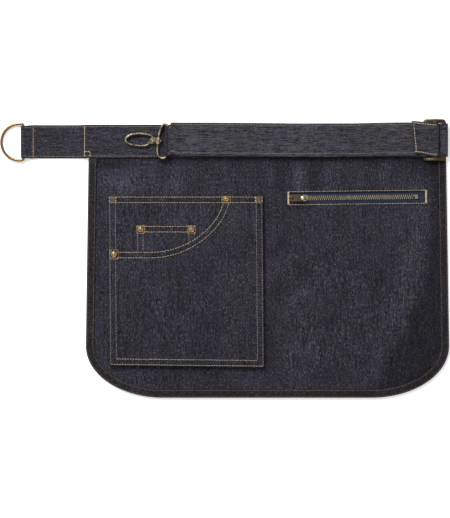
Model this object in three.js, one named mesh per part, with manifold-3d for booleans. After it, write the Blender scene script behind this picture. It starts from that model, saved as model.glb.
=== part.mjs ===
// Denim waist apron with an adjustable belt, a D-ring, a snap hook, a patch pocket and a zip.
// Millimetres, +Z up. The apron lies flat on its back with its belt towards +Y.
import * as THREE from 'three';
import { mergeVertices } from 'three/addons/utils/BufferGeometryUtils.js';
import Module from 'manifold-3d';

const wasm = await Module();
wasm.setup();

// Cloth and the gaps between layers
const CLOTH = 1.0;          // one layer of denim
const SEAM_GAP = 0.3;       // between layers that are sewn together
const STRAP_T = 1.4;        // strap of folded denim
const STRAP_GAP = 0.4;      // between a strap and the metal or strap that it runs over

// Panel and its folded edge
const PANEL_TOP_W = 428.8;
const PANEL_DROP = 287.3;   // from the belt's lower edge to the bottom
const PANEL_TUCK = 15;      // hidden under the belt
const FLARE_LEFT = 3.2;     // how far each side runs out on its way down
const FLARE_RIGHT = 3.6;
const CORNER_ACROSS = 93;   // rounded bottom corners
const CORNER_DOWN = 62;
const EDGE_W = 10;          // folded edge

// Straps
const STRAP_W = 40;
const BELT_OVERHANG = 7.4;        // the belt's left end, past the panel's corner
const BELT_OVERHANG_RIGHT = 1.7;
const BELT_RISE = 1.6;            // the belt's right end lies this much higher
const RING_STRAP_L = 70.2;        // from the belt's left end to the bar of the D-ring
const RING_STRAP_TUCK = 6;        // its end under the belt
const FOLD_BACK = 12;             // its sewn leg behind the D-ring
const BELT_SEAM = 42;             // from the slider's middle to the seam of belt and strap
const END_PIECE_L = 28;           // the strap's sewn end, from the slider's middle bar
const END_PIECE_RISE = 3;         // it lies askew, its far end this much higher on the strap
const END_PIECE_TURN = 5.5;       // degrees
const HOOK_PLACE = 94.6;          // the strap's fold round the hook's loop, from the panel's corner

// D-ring
const RING_WIRE = 3.2;
const RING_W = 46.8;              // outer, along its bar
const RING_STRAIGHT = 5.1;        // from the bar to the start of the arc
const RING_CORNER = 3;

// Three-bar slider
const SLIDER_W = 49.8;
const SLIDER_L = 27.6;
const SLIDER_RAIL = 4.6;
const SLIDER_BAR = 4.6;
const SLIDER_CORNER = 3.5;
const BAR_T = 2.2;
const BAR_BEVEL = 0.6;

// Snap hook with its wire loop, measured from the loop's left bar towards the hook's tip
const BAIL_WIRE = 2.75;
const BAIL_W = 43.2;              // outer
const BAIL_DEPTH = 11.04;         // between the middles of its two bars
const BAIL_CORNER = 3;
const BAIL_TURN = -3.5;           // degrees, seen from above
const BARREL_W = 9;
const BARREL_L = 4.8;
const BARREL_T = 4.6;
const PIN_D = 2.6;
const PIN_HEAD_D = 4.4;
const PIN_HEAD_T = 1.1;
const PIN_GAP = 0.3;
const HOOK_WIRE = 2.8;
const HOOK_L = 38.6;              // from the loop's left bar to the middle of the wire at the tip
const HOOK_HALF_W = 7.2;          // from the hook's middle line to the middle of its wire
const HOOK_DROP = 0.7;            // degrees that the hook slopes down to its tip
const GATE_PIVOT = 6.2;           // along the hook
const GATE_PIVOT_ASIDE = 1.2;     // towards the gate's side
const GATE_PLATE_T = 1.3;
const GATE_REACH = 28.4;
const GATE_WIRE = 2.2;
const GATE_EYE_L = 8.4;           // the plate that turns on the pivot pin
const GATE_EYE_W = 5.4;
const GATE_EYE_CORNER = 2.4;
const GATE_EYE_AHEAD = 1.5;       // its middle, from the pivot
const GATE_EYE_ASIDE = 0.6;
const GATE_ROOT_AHEAD = 4;         // where the gate's wire leaves it, from the pivot
const GATE_ROOT_ASIDE = 1.7;
const PIVOT_PIN_D = 2;
const PIVOT_PIN_DEPTH = 1;        // into the hook's base
const HOOK_BASE_W = 7.4;
const HOOK_BASE_CORNER = 2;
const HOOK_BASE_ASIDE = -0.4;
const HOOK_BASE_PAST = 3;         // past the pivot
const SHANK_DEPTH = 0.5;          // of the swivel pin, into the hook's base

// Patch pocket, measured from its top left corner
const POCKET_X = 24.1;            // from the panel's left corner
const POCKET_BELOW_BELT = 45.4;
const POCKET_W = 185;
const POCKET_H = 203;
const POCKET_LEAN = 1.7;          // its foot lies this much further right
const POCKET_FALL = 2.2;          // its right foot lies this much lower
const POCKET_SEAM = 8;
const POCKET_RISE = 0.9;          // hollow under each patch, beside its seams
const MOUTH_ACROSS = 135.5;       // where the scooped mouth meets the pocket's top
const MOUTH_DOWN = 66;            // where it meets the pocket's left side
const MOUTH_FLAT = 48.7;          // straight stretch at the left
const MOUTH_HEAD = 10.8;          // straight stretch at the top
const MOUTH_LEAN = 9.4;           // handles of the curve between them
const MOUTH_STEEP = 28.8;
const MOUTH_SWEEP = 43.2;
const MOUTH_EASE = 0.4;           // how far a handle moves with an inset, as a share of it
const HEM_W = 8.4;
const HEM_RAISE = 0.5;
const COIN_X = 33.1;
const COIN_DOWN = 35;
const COIN_W = 71.2;
const COIN_H = 84;
const RIVET_CAP_D = 7.7;
const RIVET_CAP_T = 1.5;
const RIVET_SHANK_D = 2.4;
const RIVET_DISC_D = 6;
const RIVET_DISC_T = 0.7;
const RIVET_INSET = 5.2;          // from a side seam's edge
const RIVET_TOP_INSET = 3.8;
const RIVET_SHIFT = 1.2;          // of the two large rivets, away from the middle of the hem

// Zip, lying in a window of the panel
const ZIP_FROM_POCKET = 32.4;     // the window's left end, from the pocket's right corner
const ZIP_FROM_EDGE = 25.9;       // its right end, from the panel's right corner
const ZIP_BELOW_BELT = 47.2;
const ZIP_TURN = 0.69;            // degrees
const WINDOW_W = 12.7;
const TAPE_W = 10.7;
const TAPE_SPARE = 6;             // tape past each end of the window
const TAPE_SPLIT = 0.6;
const TAPE_T = 1.0;
const CHAIN_W = 6;
const CHAIN_T = 1.2;
const TOOTH_PITCH = 2.46;
const TOOTH_DEPTH = 0.9;
const STOP_L = 4;
const STOP_INSET = 7.8;           // from the window's right end
const STOP_TRIM = 0.4;            // narrower than the chain, and higher
const ZIP_SLIDER_L = 10.8;
const ZIP_SLIDER_W = 8.6;
const ZIP_SLIDER_INSET = 22.2;    // its closed end, from the window's left end
const ZIP_SLIDER_T = 0.9;
const ZIP_WEDGE = 3;
const ZIP_SLIDER_CORNER = 1.6;
const PIVOT_PAST_WEDGE = 0.6;
const CROWN_D = 6;
const CROWN_T = 1;
const CROWN_W = 4.4;
const PULL_L = 14.4;              // from its pivot
const PULL_W = 8.2;
const PULL_T = 1.2;
const PULL_ARM = 1.3;
const PULL_SLOT_L = 1.8;
const PULL_SLOT_W = 5.3;
const PULL_RIM = 1.6;             // past the slot, at the tip
const PULL_CORNER = 2;
const PULL_TILT = 3;              // degrees down to its tip
const BAG_DEPTH = 150;
const BAG_MARGIN = 8;             // past the tapes

// Levels of the layers, each at the middle of its thickness
const panelZ = CLOTH + SEAM_GAP + CLOTH / 2;
const panelTop = panelZ + CLOTH / 2;
const edgeTop = 3 * CLOTH + 2 * SEAM_GAP;
const beltZ = panelTop + SEAM_GAP + STRAP_T / 2;
const lowerRunZ = beltZ + STRAP_T + STRAP_GAP;
const upperRunZ = lowerRunZ + STRAP_T + STRAP_GAP;
const barTurn = BAR_T / 2 + STRAP_GAP + STRAP_T / 2;
const outerBarZ = beltZ + barTurn;
const middleBarZ = upperRunZ + barTurn;
const bailTurn = BAIL_WIRE / 2 + STRAP_GAP + STRAP_T / 2;
const bailZ = lowerRunZ + bailTurn;
const ringTurn = RING_WIRE / 2 + STRAP_GAP + STRAP_T / 2;
const ringZ = STRAP_T / 2 + ringTurn;

// Places along X, from the panel's left corner, and along Y, from the belt's middle line
const beltLeft = -BELT_OVERHANG;
const ringBarX = beltLeft - RING_STRAP_L;
const beltRight = PANEL_TOP_W + BELT_OVERHANG_RIGHT;
const rightTurnX = beltRight - barTurn - STRAP_T / 2;
const sliderRight = rightTurnX + BAR_BEVEL;
const sliderMidX = sliderRight - SLIDER_L / 2;
const leftBarX = sliderRight - SLIDER_L + SLIDER_BAR / 2;
const rightBarX = sliderRight - SLIDER_BAR / 2;
const middleTurnX = sliderMidX + SLIDER_BAR / 2 - BAR_BEVEL;
const beltSeamX = sliderMidX - BELT_SEAM;
const sliderY = BELT_RISE - 0.3;
const beltLower = -STRAP_W / 2;
const panelBottom = beltLower - PANEL_DROP;
const windowLeft = POCKET_X + POCKET_W + ZIP_FROM_POCKET;
const windowRight = PANEL_TOP_W - ZIP_FROM_EDGE;
const windowX = (windowLeft + windowRight) / 2;
const windowHalf = (windowRight - windowLeft) / 2;
const windowY = beltLower - ZIP_BELOW_BELT;

const DENIM = 0x2d2d37;
const ANTIQUE_BRASS = 0x8a6f45;
const COPPER = 0xb98a55;
const GOLD_BRASS = 0xc79a4e;
const NAVY_TAPE = 0x1c2a4a;

const CUT_REACH = 20;             // above and below, of a tool that cuts right through

const lerp = THREE.MathUtils.lerp;
const smooth = (value, low, high) => THREE.MathUtils.smoothstep(value, low, high);
const radians = THREE.MathUtils.degToRad;

// Meshes and solids

function tidy(geometry) {
  const bare = geometry.clone();
  bare.deleteAttribute('normal');
  bare.deleteAttribute('uv');
  const merged = mergeVertices(bare, 1e-4);
  const corners = merged.index.array;
  const kept = [];
  for (let i = 0; i < corners.length; i += 3) {
    const [a, b, c] = corners.slice(i, i + 3);
    if (a !== b && b !== c && c !== a) kept.push(a, b, c);
  }
  merged.setIndex(kept);
  return merged;
}

function toSolid(geometry) {
  const merged = tidy(geometry);
  return new wasm.Manifold(new wasm.Mesh({
    numProp: 3,
    vertProperties: new Float32Array(merged.attributes.position.array),
    triVerts: new Uint32Array(merged.index.array),
  }));
}

function toGeometry(solid) {
  const cut = solid.getMesh();
  const geometry = new THREE.BufferGeometry();
  geometry.setAttribute('position', new THREE.BufferAttribute(cut.vertProperties, 3));
  geometry.setIndex(new THREE.BufferAttribute(cut.triVerts, 1));
  return geometry;
}

function join(...geometries) {
  return toGeometry(geometries.map(toSolid).reduce((whole, solid) => whole.add(solid)));
}

function cut(geometry, ...tools) {
  return toGeometry(tools.map(toSolid).reduce((whole, tool) => whole.subtract(tool), toSolid(geometry)));
}

function piece(name, geometry, colour, roughness, metalness) {
  const material = new THREE.MeshStandardMaterial({ color: colour, roughness, metalness });
  const mesh = new THREE.Mesh(tidy(geometry), material);
  mesh.name = name;
  return mesh;
}

const cloth = (name, geometry) => piece(name, geometry, DENIM, 0.9, 0);
const metal = (name, geometry, colour) => piece(name, geometry, colour, 0.35, 1);

// A closed wall through rings of points: a ring runs along one face of the wall and back along the other
function wallLoft(rings) {
  const count = rings[0].length;
  const index = [];
  const quad = (a, b, c, d) => index.push(a, b, c, a, c, d);
  for (let ring = 0; ring < rings.length - 1; ring += 1) {
    for (let i = 0; i < count; i += 1) {
      const next = (i + 1) % count;
      quad(ring * count + i, ring * count + next, (ring + 1) * count + next, (ring + 1) * count + i);
    }
  }
  const last = (rings.length - 1) * count;
  for (let i = 0; i < count / 2 - 1; i += 1) {
    quad(i, count - 1 - i, count - 2 - i, i + 1);
    quad(last + i, last + i + 1, last + count - 2 - i, last + count - 1 - i);
  }
  const points = rings.flat();
  const volume = (a, b, c) => points[a].dot(new THREE.Vector3().crossVectors(points[b], points[c]));
  let total = 0;
  for (let i = 0; i < index.length; i += 3) total += volume(index[i], index[i + 1], index[i + 2]);
  const geometry = new THREE.BufferGeometry().setFromPoints(points);
  geometry.setIndex(total < 0 ? index.reverse() : index);
  return geometry;
}

function plate(shape, bottom, top, curveSteps = 8) {
  const options = { depth: top - bottom, bevelEnabled: false, curveSegments: curveSteps };
  return new THREE.ExtrudeGeometry(shape, options).translate(0, 0, bottom);
}

function rectangle(left, bottom, right, top) {
  const corners = [[left, bottom], [right, bottom], [right, top], [left, top]];
  return new THREE.Shape(corners.map(([x, y]) => new THREE.Vector2(x, y)));
}

function roundedRectangle(width, height, radius) {
  const x = width / 2 - radius;
  const y = height / 2 - radius;
  const shape = new THREE.Shape();
  shape.absarc(x, y, radius, 0, Math.PI / 2);
  shape.absarc(-x, y, radius, Math.PI / 2, Math.PI);
  shape.absarc(-x, -y, radius, Math.PI, 1.5 * Math.PI);
  shape.absarc(x, -y, radius, 1.5 * Math.PI, 2 * Math.PI);
  return shape;
}

function rod(diameter, length, sides = 12) {
  return new THREE.CylinderGeometry(diameter / 2, diameter / 2, length, sides);
}

// Outline of the panel, from its left top end round the bottom to its right top end
// Each point is [x, y] on the line that lies inset inside the outer edge
function panelSide(y, inset) {
  const cornerTop = panelBottom + CORNER_DOWN;
  const down = THREE.MathUtils.clamp((beltLower - y) / (beltLower - cornerTop), 0, 1);
  const sink = THREE.MathUtils.clamp((cornerTop - y) / (CORNER_DOWN - inset), 0, 1);
  const corner = (CORNER_ACROSS - inset) * (1 - Math.sqrt(1 - sink * sink));
  const left = inset + corner - FLARE_LEFT * down;
  const right = PANEL_TOP_W - inset - corner + FLARE_RIGHT * down;
  return { left, right };
}

// Heights along a side where the outline needs points: even steps, then the corner by its angle
function sideHeights(top, inset, straightSteps, cornerSteps) {
  const cornerTop = panelBottom + CORNER_DOWN;
  const heights = [];
  for (let i = 0; i < straightSteps; i += 1) heights.push(lerp(top, cornerTop, i / straightSteps));
  for (let i = 0; i <= cornerSteps; i += 1) {
    const angle = (Math.PI / 2) * (i / cornerSteps);
    heights.push(cornerTop - (CORNER_DOWN - inset) * Math.sin(angle));
  }
  return heights;
}

// Soft waves of the free cloth: middle and spread as shares of the panel's width and drop,
// rise as a share of the gap that the cloth may leave
const WAVE_HEIGHT = 2.2;
const WAVES = [
  { across: 0.10, down: 0.07, spreadAcross: 0.07, spreadDown: 0.06, rise: -0.35 },
  { across: 0.20, down: 0.08, spreadAcross: 0.06, spreadDown: 0.05, rise: 0.45 },
  { across: 0.33, down: 0.08, spreadAcross: 0.05, spreadDown: 0.05, rise: -0.30 },
  { across: 0.455, down: 0.35, spreadAcross: 0.035, spreadDown: 0.30, rise: 0.55 },
  { across: 0.62, down: 0.52, spreadAcross: 0.10, spreadDown: 0.20, rise: 0.30 },
  { across: 0.80, down: 0.70, spreadAcross: 0.12, spreadDown: 0.14, rise: 1.00 },
  { across: 0.93, down: 0.40, spreadAcross: 0.05, spreadDown: 0.18, rise: 0.50 },
  { across: 0.55, down: 0.86, spreadAcross: 0.12, spreadDown: 0.07, rise: 0.40 },
];
const EDGE_FADE = 45;
const POCKET_FADE = 30;
const POCKET_MARGIN = 14;
const ZIP_MARGIN = 14;
const ZIP_FADE = 18;

function distanceOutside(x, y, box) {
  const across = Math.max(box.left - x, x - box.right, 0);
  const along = Math.max(box.bottom - y, y - box.top, 0);
  return Math.hypot(across, along);
}

const pocketBox = {
  left: POCKET_X,
  right: POCKET_X + POCKET_W + POCKET_LEAN,
  top: beltLower - POCKET_BELOW_BELT,
  bottom: beltLower - POCKET_BELOW_BELT - POCKET_H - POCKET_FALL,
};
const tapeReach = windowHalf + TAPE_SPARE;
const tapeHalf = TAPE_SPLIT / 2 + TAPE_W;
const tapeBox = {
  left: windowX - tapeReach,
  right: windowX + tapeReach,
  top: windowY + tapeHalf,
  bottom: windowY - tapeHalf,
};

// Distance in from the panel's outer edge
function fromOutline(x, y) {
  const sides = panelSide(y, 0);
  const middle = panelBottom + CORNER_DOWN;
  const across = Math.min(x - sides.left, sides.right - x);
  if (y > middle) return Math.min(across, y - panelBottom);
  const straight = CORNER_ACROSS - Math.min(x - panelSide(middle, 0).left, panelSide(middle, 0).right - x);
  const out = Math.hypot(Math.max(straight, 0) / CORNER_ACROSS, (middle - y) / CORNER_DOWN);
  return Math.min(across, (1 - out) * CORNER_DOWN);
}

function panelHeight(x, y) {
  const drop = (beltLower - y) / PANEL_DROP;
  const free = smooth(fromOutline(x, y), EDGE_W, EDGE_W + EDGE_FADE)
    * smooth(beltLower - y, 0, EDGE_FADE)
    * smooth(distanceOutside(x, y, pocketBox), POCKET_MARGIN, POCKET_MARGIN + POCKET_FADE)
    * smooth(distanceOutside(x, y, tapeBox), ZIP_MARGIN, ZIP_MARGIN + ZIP_FADE);
  let wave = 0;
  for (const row of WAVES) {
    const across = (x / PANEL_TOP_W - row.across) / row.spreadAcross;
    const down = (drop - row.down) / row.spreadDown;
    wave += row.rise * Math.exp(-across * across - down * down);
  }
  return panelZ + WAVE_HEIGHT * wave * free;
}

// A point of the pocket, from distances across and down from its top left corner
function pocketPoint(across, down) {
  const x = pocketBox.left + across + POCKET_LEAN * (down / POCKET_H);
  const y = pocketBox.top - down - POCKET_FALL * (across / POCKET_W) * (down / POCKET_H);
  return new THREE.Vector2(x, y);
}

function pocketShape(points) {
  return new THREE.Shape(points.map(([across, down]) => pocketPoint(across, down)));
}

const mouthHemMiddle = HEM_W / 2;
const rivets = [
  { name: 'rivet_top', across: MOUTH_ACROSS + mouthHemMiddle + RIVET_SHIFT, down: RIVET_TOP_INSET, coin: false },
  { name: 'rivet_side', across: RIVET_INSET + RIVET_SHIFT, down: MOUTH_DOWN + mouthHemMiddle, coin: false },
  { name: 'rivet_coin_left', across: COIN_X + RIVET_INSET, down: COIN_DOWN + RIVET_INSET, coin: true },
  { name: 'rivet_coin_right', across: COIN_X + COIN_W - RIVET_INSET, down: COIN_DOWN + RIVET_INSET, coin: true },
];

function rivetHole(rivet) {
  const place = pocketPoint(rivet.across, rivet.down);
  const hole = rod(RIVET_SHANK_D + 2 * SEAM_GAP, 2 * CUT_REACH).rotateX(Math.PI / 2);
  return hole.translate(place.x, place.y, 0);
}

// Panel and its folded edge

const PANEL_COLUMNS = 27;
const PANEL_ROWS = 15;
const CORNER_STEPS = 8;
const foldInset = CLOTH + SEAM_GAP;

function panelGeometry() {
  const heights = [beltLower + PANEL_TUCK, ...sideHeights(beltLower, foldInset, PANEL_ROWS, CORNER_STEPS)];
  const rings = heights.map((y) => {
    const { left, right } = panelSide(y, foldInset);
    const upper = [];
    const lower = [];
    for (let i = 0; i <= PANEL_COLUMNS; i += 1) {
      const x = lerp(left, right, i / PANEL_COLUMNS);
      const z = panelHeight(x, Math.min(y, beltLower));
      upper.push(new THREE.Vector3(x, y, z + CLOTH / 2));
      lower.push(new THREE.Vector3(x, y, z - CLOTH / 2));
    }
    return [...upper, ...lower.reverse()];
  });
  const window = plate(rectangle(-windowHalf, -WINDOW_W / 2, windowHalf, WINDOW_W / 2), -CUT_REACH, CUT_REACH);
  window.rotateZ(radians(ZIP_TURN)).translate(windowX, windowY, 0);
  return cut(wallLoft(rings), window, ...rivets.filter((rivet) => !rivet.coin).map(rivetHole));
}

function edgeGeometry() {
  const top = beltLower - SEAM_GAP;
  const heights = sideHeights(top, 0, 8, 12);
  const leftSide = heights.map((y) => new THREE.Vector2(panelSide(y, 0).left, y));
  const rightSide = heights.map((y) => new THREE.Vector2(panelSide(y, 0).right, y)).reverse();
  const bottomSteps = 6;
  const bottom = [];
  for (let i = 1; i < bottomSteps; i += 1) {
    bottom.push(leftSide.at(-1).clone().lerp(rightSide[0], i / bottomSteps));
  }
  const path = [...leftSide, ...bottom, ...rightSide];
  const outer = [[EDGE_W, 0], [0, 0], [0, edgeTop], [EDGE_W, edgeTop]];
  const inner = [[EDGE_W, edgeTop - CLOTH], [CLOTH, edgeTop - CLOTH], [CLOTH, CLOTH], [EDGE_W, CLOTH]];
  const rings = path.map((point, i) => {
    const before = path[Math.max(i - 1, 0)];
    const after = path[Math.min(i + 1, path.length - 1)];
    const along = after.clone().sub(before).normalize();
    const ends = i === 0 || i === path.length - 1;
    const inward = ends ? new THREE.Vector2(i === 0 ? 1 : -1, 0) : new THREE.Vector2(-along.y, along.x);
    return [...outer, ...inner].map(([depth, z]) => {
      const place = point.clone().addScaledVector(inward, depth);
      return new THREE.Vector3(place.x, place.y, z);
    });
  });
  return wallLoft(rings);
}

// Straps: a path in X and Z with the strap's width, middle line and skew at each station

class StrapPath {
  constructor(x, z, look) {
    this.stations = [{ x, z, ...look }];
  }

  get last() {
    return this.stations.at(-1);
  }

  add(x, z, look, share, from) {
    const mix = (key) => lerp(from[key], look[key], smooth(share, 0, 1));
    this.stations.push({ x, z, width: mix('width'), middle: mix('middle'), skew: mix('skew') });
  }

  // A straight or gently rising stretch to x, z
  to(x, z, look, steps = 1) {
    const from = { ...this.last };
    const target = { ...from, ...look };
    for (let i = 1; i <= steps; i += 1) {
      const share = i / steps;
      this.add(lerp(from.x, x, share), lerp(from.z, z, smooth(share, 0, 1)), target, share, from);
    }
    return this;
  }

  // A half turn round a bar, to the height z, bulging towards side (1 right, -1 left)
  turn(z, side, look, steps = 8) {
    const from = { ...this.last };
    const target = { ...from, ...look };
    const radius = (z - from.z) / 2;
    for (let i = 1; i <= steps; i += 1) {
      const angle = Math.PI * (i / steps);
      const x = from.x + side * Math.abs(radius) * Math.sin(angle);
      this.add(x, from.z + radius * (1 - Math.cos(angle)), target, i / steps, from);
    }
    return this;
  }

  geometry(thickness) {
    const { stations } = this;
    const rings = stations.map((station, i) => {
      const before = stations[Math.max(i - 1, 0)];
      const after = stations[Math.min(i + 1, stations.length - 1)];
      const into = new THREE.Vector2(station.x - before.x, station.z - before.z);
      const out = new THREE.Vector2(after.x - station.x, after.z - station.z);
      if (i === 0) into.copy(out);
      if (i === stations.length - 1) out.copy(into);
      into.normalize();
      out.normalize();
      const along = into.clone().add(out).normalize();
      const mitre = thickness / 2 / along.dot(into);
      const corner = (side, face) => {
        const across = side * station.width / 2;
        const slide = across * Math.tan(radians(station.skew));
        const x = station.x + slide - face * along.y * mitre;
        return new THREE.Vector3(x, station.middle + across, station.z + face * along.x * mitre);
      };
      return [corner(-1, 1), corner(1, 1), corner(1, -1), corner(-1, -1)];
    });
    return wallLoft(rings);
  }
}

const bailInnerW = BAIL_W - 2 * BAIL_WIRE;
const sliderInnerW = SLIDER_W - 2 * SLIDER_RAIL;
const ringInnerW = RING_W - 2 * RING_WIRE;
const PINCH_GAP = 1.0;            // between a pinched strap's edge and the metal beside it
const ringMiddle = -0.9;
const bailMiddle = -0.4;
const sliderStrapW = Math.min(STRAP_W, sliderInnerW - 2 * PINCH_GAP);
const bailStrapW = Math.min(STRAP_W, bailInnerW - 2 * PINCH_GAP);
const ringStrapW = Math.min(STRAP_W, ringInnerW - 2 * PINCH_GAP);

// How the upper run of the strap wanders: place as a share of the way from the slider to the hook
const UPPER_RUN = [
  { along: 0.90, middle: 2.2 },
  { along: 0.35, middle: 1.1 },
  { along: 0.08, middle: 2.4 },
];

// The belt on the panel ends under the slider, where the strap is sewn to it
function waistBeltGeometry() {
  const path = new StrapPath(beltLeft, beltZ, { width: STRAP_W, middle: 0, skew: 0 });
  path.to(lerp(beltLeft, beltRight, 0.2), beltZ, { middle: 0 }, 2);
  path.to(beltSeamX, beltZ, { middle: BELT_RISE }, 6);
  return path.geometry(STRAP_T);
}

// The strap runs round the slider's right bar, back to the hook's loop, and again to the slider
function adjustStrapGeometry() {
  const atSlider = { width: sliderStrapW, middle: sliderY, skew: 0 };
  const atBail = { width: bailStrapW, middle: bailMiddle, skew: -BAIL_TURN };
  const bailX = HOOK_PLACE;
  const start = { width: STRAP_W, middle: BELT_RISE, skew: 0 };
  const path = new StrapPath(beltSeamX + SEAM_GAP, beltZ, start);
  path.to(leftBarX, beltZ, { ...atSlider }, 3);
  path.to(rightTurnX, beltZ, atSlider);
  path.turn(outerBarZ + barTurn, 1, atSlider);
  path.to(rightBarX - SLIDER_BAR * 0.3, outerBarZ + barTurn, atSlider);
  path.to(sliderMidX + SLIDER_BAR * 0.6, lowerRunZ, atSlider, 6);
  path.to(sliderMidX - SLIDER_BAR * 0.4, lowerRunZ, atSlider);
  path.to(leftBarX + SLIDER_BAR * 0.4, outerBarZ + barTurn, atSlider, 8);
  path.to(leftBarX - SLIDER_BAR * 0.4, outerBarZ + barTurn, atSlider);
  path.to(leftBarX - SLIDER_BAR * 3, lowerRunZ, { width: STRAP_W, middle: BELT_RISE }, 6);
  path.to(bailX + 30, lowerRunZ, { middle: 1.2 }, 6);
  path.to(bailX, lowerRunZ, atBail, 4);
  path.turn(bailZ + bailTurn, -1, atBail, 10);
  path.to(bailX + 14, upperRunZ, { width: STRAP_W, middle: UPPER_RUN[0].middle, skew: 0 }, 6);
  for (const row of UPPER_RUN) {
    path.to(lerp(leftBarX, bailX, row.along), upperRunZ, { middle: row.middle }, 4);
  }
  path.to(leftBarX - SLIDER_BAR * 2.4, upperRunZ, { width: STRAP_W }, 2);
  path.to(leftBarX - SLIDER_BAR * 0.4, outerBarZ + barTurn + STRAP_T + STRAP_GAP, atSlider, 6);
  path.to(leftBarX + SLIDER_BAR * 0.4, outerBarZ + barTurn + STRAP_T + STRAP_GAP, atSlider);
  path.to(sliderMidX - SLIDER_BAR * 0.4, upperRunZ, atSlider, 8);
  path.to(middleTurnX, upperRunZ, atSlider);
  path.turn(middleBarZ + barTurn, 1, atSlider);
  const endPiece = { width: sliderStrapW - 1, middle: sliderY + END_PIECE_RISE, skew: -END_PIECE_TURN };
  path.to(middleTurnX - END_PIECE_L, middleBarZ + barTurn, endPiece, 3);
  return path.geometry(STRAP_T);
}

function ringStrapGeometry() {
  const overFold = STRAP_T * 1.5 + STRAP_GAP;
  const atRing = { width: ringStrapW, middle: ringMiddle, skew: 0 };
  const full = { width: STRAP_W, middle: -0.3 };
  const path = new StrapPath(ringBarX + FOLD_BACK, STRAP_T / 2, { width: STRAP_W, middle: -0.5, skew: 0 });
  path.to(ringBarX, STRAP_T / 2, atRing, 2);
  path.turn(ringZ + ringTurn, -1, atRing, 10);
  path.to(ringBarX + FOLD_BACK * 0.8, overFold, { ...full, middle: -0.5 }, 6);
  path.to(ringBarX + FOLD_BACK, overFold, full);
  path.to(ringBarX + FOLD_BACK * 1.7, STRAP_T / 2, full, 5);
  path.to(beltLeft - 14, STRAP_T / 2, full, 2);
  path.to(beltLeft - 2, beltZ - STRAP_T - STRAP_GAP, full, 4);
  path.to(beltLeft + RING_STRAP_TUCK, beltZ - STRAP_T - STRAP_GAP, full);
  return path.geometry(STRAP_T);
}

// Wire loops: closed rounds of straight stretches and arcs in the XY plane

function wireLoop(points, wire, steps) {
  const curve = new THREE.CurvePath();
  points.forEach((point, i) => {
    curve.add(new THREE.LineCurve3(point, points[(i + 1) % points.length]));
  });
  return new THREE.TubeGeometry(curve, steps, wire / 2, 8, true);
}

function arcPoints(x, y, radius, from, to, steps) {
  return Array.from({ length: steps + 1 }, (_, i) => {
    const angle = radians(lerp(from, to, i / steps));
    return new THREE.Vector3(x + radius * Math.cos(angle), y + radius * Math.sin(angle), 0);
  });
}

// The ring lies with its arc on the table and its bar in the strap's fold
function ringGeometry() {
  const reach = RING_W / 2 - RING_WIRE / 2;
  const side = reach - RING_CORNER;
  const points = [
    ...arcPoints(-RING_CORNER, side, RING_CORNER, 0, 90, 4),
    ...arcPoints(-RING_STRAIGHT, 0, reach, 90, 270, 16),
    ...arcPoints(-RING_CORNER, -side, RING_CORNER, 270, 360, 4),
  ];
  const lean = Math.asin((ringZ - RING_WIRE / 2) / (RING_STRAIGHT + reach));
  return wireLoop(points, RING_WIRE, 52).rotateY(-lean).translate(ringBarX, ringMiddle, ringZ);
}

function flatBar(x, z) {
  const half = SLIDER_BAR / 2;
  const top = BAR_T / 2;
  const outline = [
    [half - BAR_BEVEL, -top], [half, -top + BAR_BEVEL], [half, top - BAR_BEVEL], [half - BAR_BEVEL, top],
    [-half + BAR_BEVEL, top], [-half, top - BAR_BEVEL], [-half, -top + BAR_BEVEL], [-half + BAR_BEVEL, -top],
  ];
  const shape = new THREE.Shape(outline.map(([across, up]) => new THREE.Vector2(across, up)));
  const length = SLIDER_W - SLIDER_RAIL;
  return plate(shape, -length / 2, length / 2).rotateX(Math.PI / 2).translate(x, sliderY, z);
}

// Side rail, bowed up so that the middle bar stands above the outer ones
function bowedRail(side) {
  const steps = 12;
  const reach = SLIDER_L / 2;
  const bow = (across) => (middleBarZ - outerBarZ) * (1 + Math.cos(Math.PI * across / reach)) / 2;
  const line = Array.from({ length: steps + 1 }, (_, i) => lerp(-reach, reach, i / steps));
  const upper = line.map((x) => new THREE.Vector2(x, bow(x) + BAR_T / 2));
  const lower = line.map((x) => new THREE.Vector2(x, bow(x) - BAR_T / 2));
  const rail = plate(new THREE.Shape([...lower, ...upper.reverse()]), -SLIDER_RAIL / 2, SLIDER_RAIL / 2);
  const away = side * (SLIDER_W - SLIDER_RAIL) / 2;
  return rail.rotateX(Math.PI / 2).translate(sliderMidX, sliderY + away, outerBarZ);
}

function sliderGeometry() {
  const outline = plate(roundedRectangle(SLIDER_L, SLIDER_W, SLIDER_CORNER), 0, CUT_REACH, 4);
  outline.translate(sliderMidX, sliderY, 0);
  const bars = [flatBar(leftBarX, outerBarZ), flatBar(sliderMidX, middleBarZ), flatBar(rightBarX, outerBarZ)];
  const whole = join(...bars, bowedRail(-1), bowedRail(1));
  return toGeometry(toSolid(whole).intersect(toSolid(outline)));
}

// Snap hook. Its pieces are drawn with X towards the tip and Y towards the gate's side, from the
// middle of the barrel, and then turned round so that the tip points to the left

const barrelZ = beltZ + STRAP_T / 2 + SEAM_GAP + BARREL_T / 2;
const bailLean = Math.asin((bailZ - barrelZ) / BAIL_DEPTH);

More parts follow.
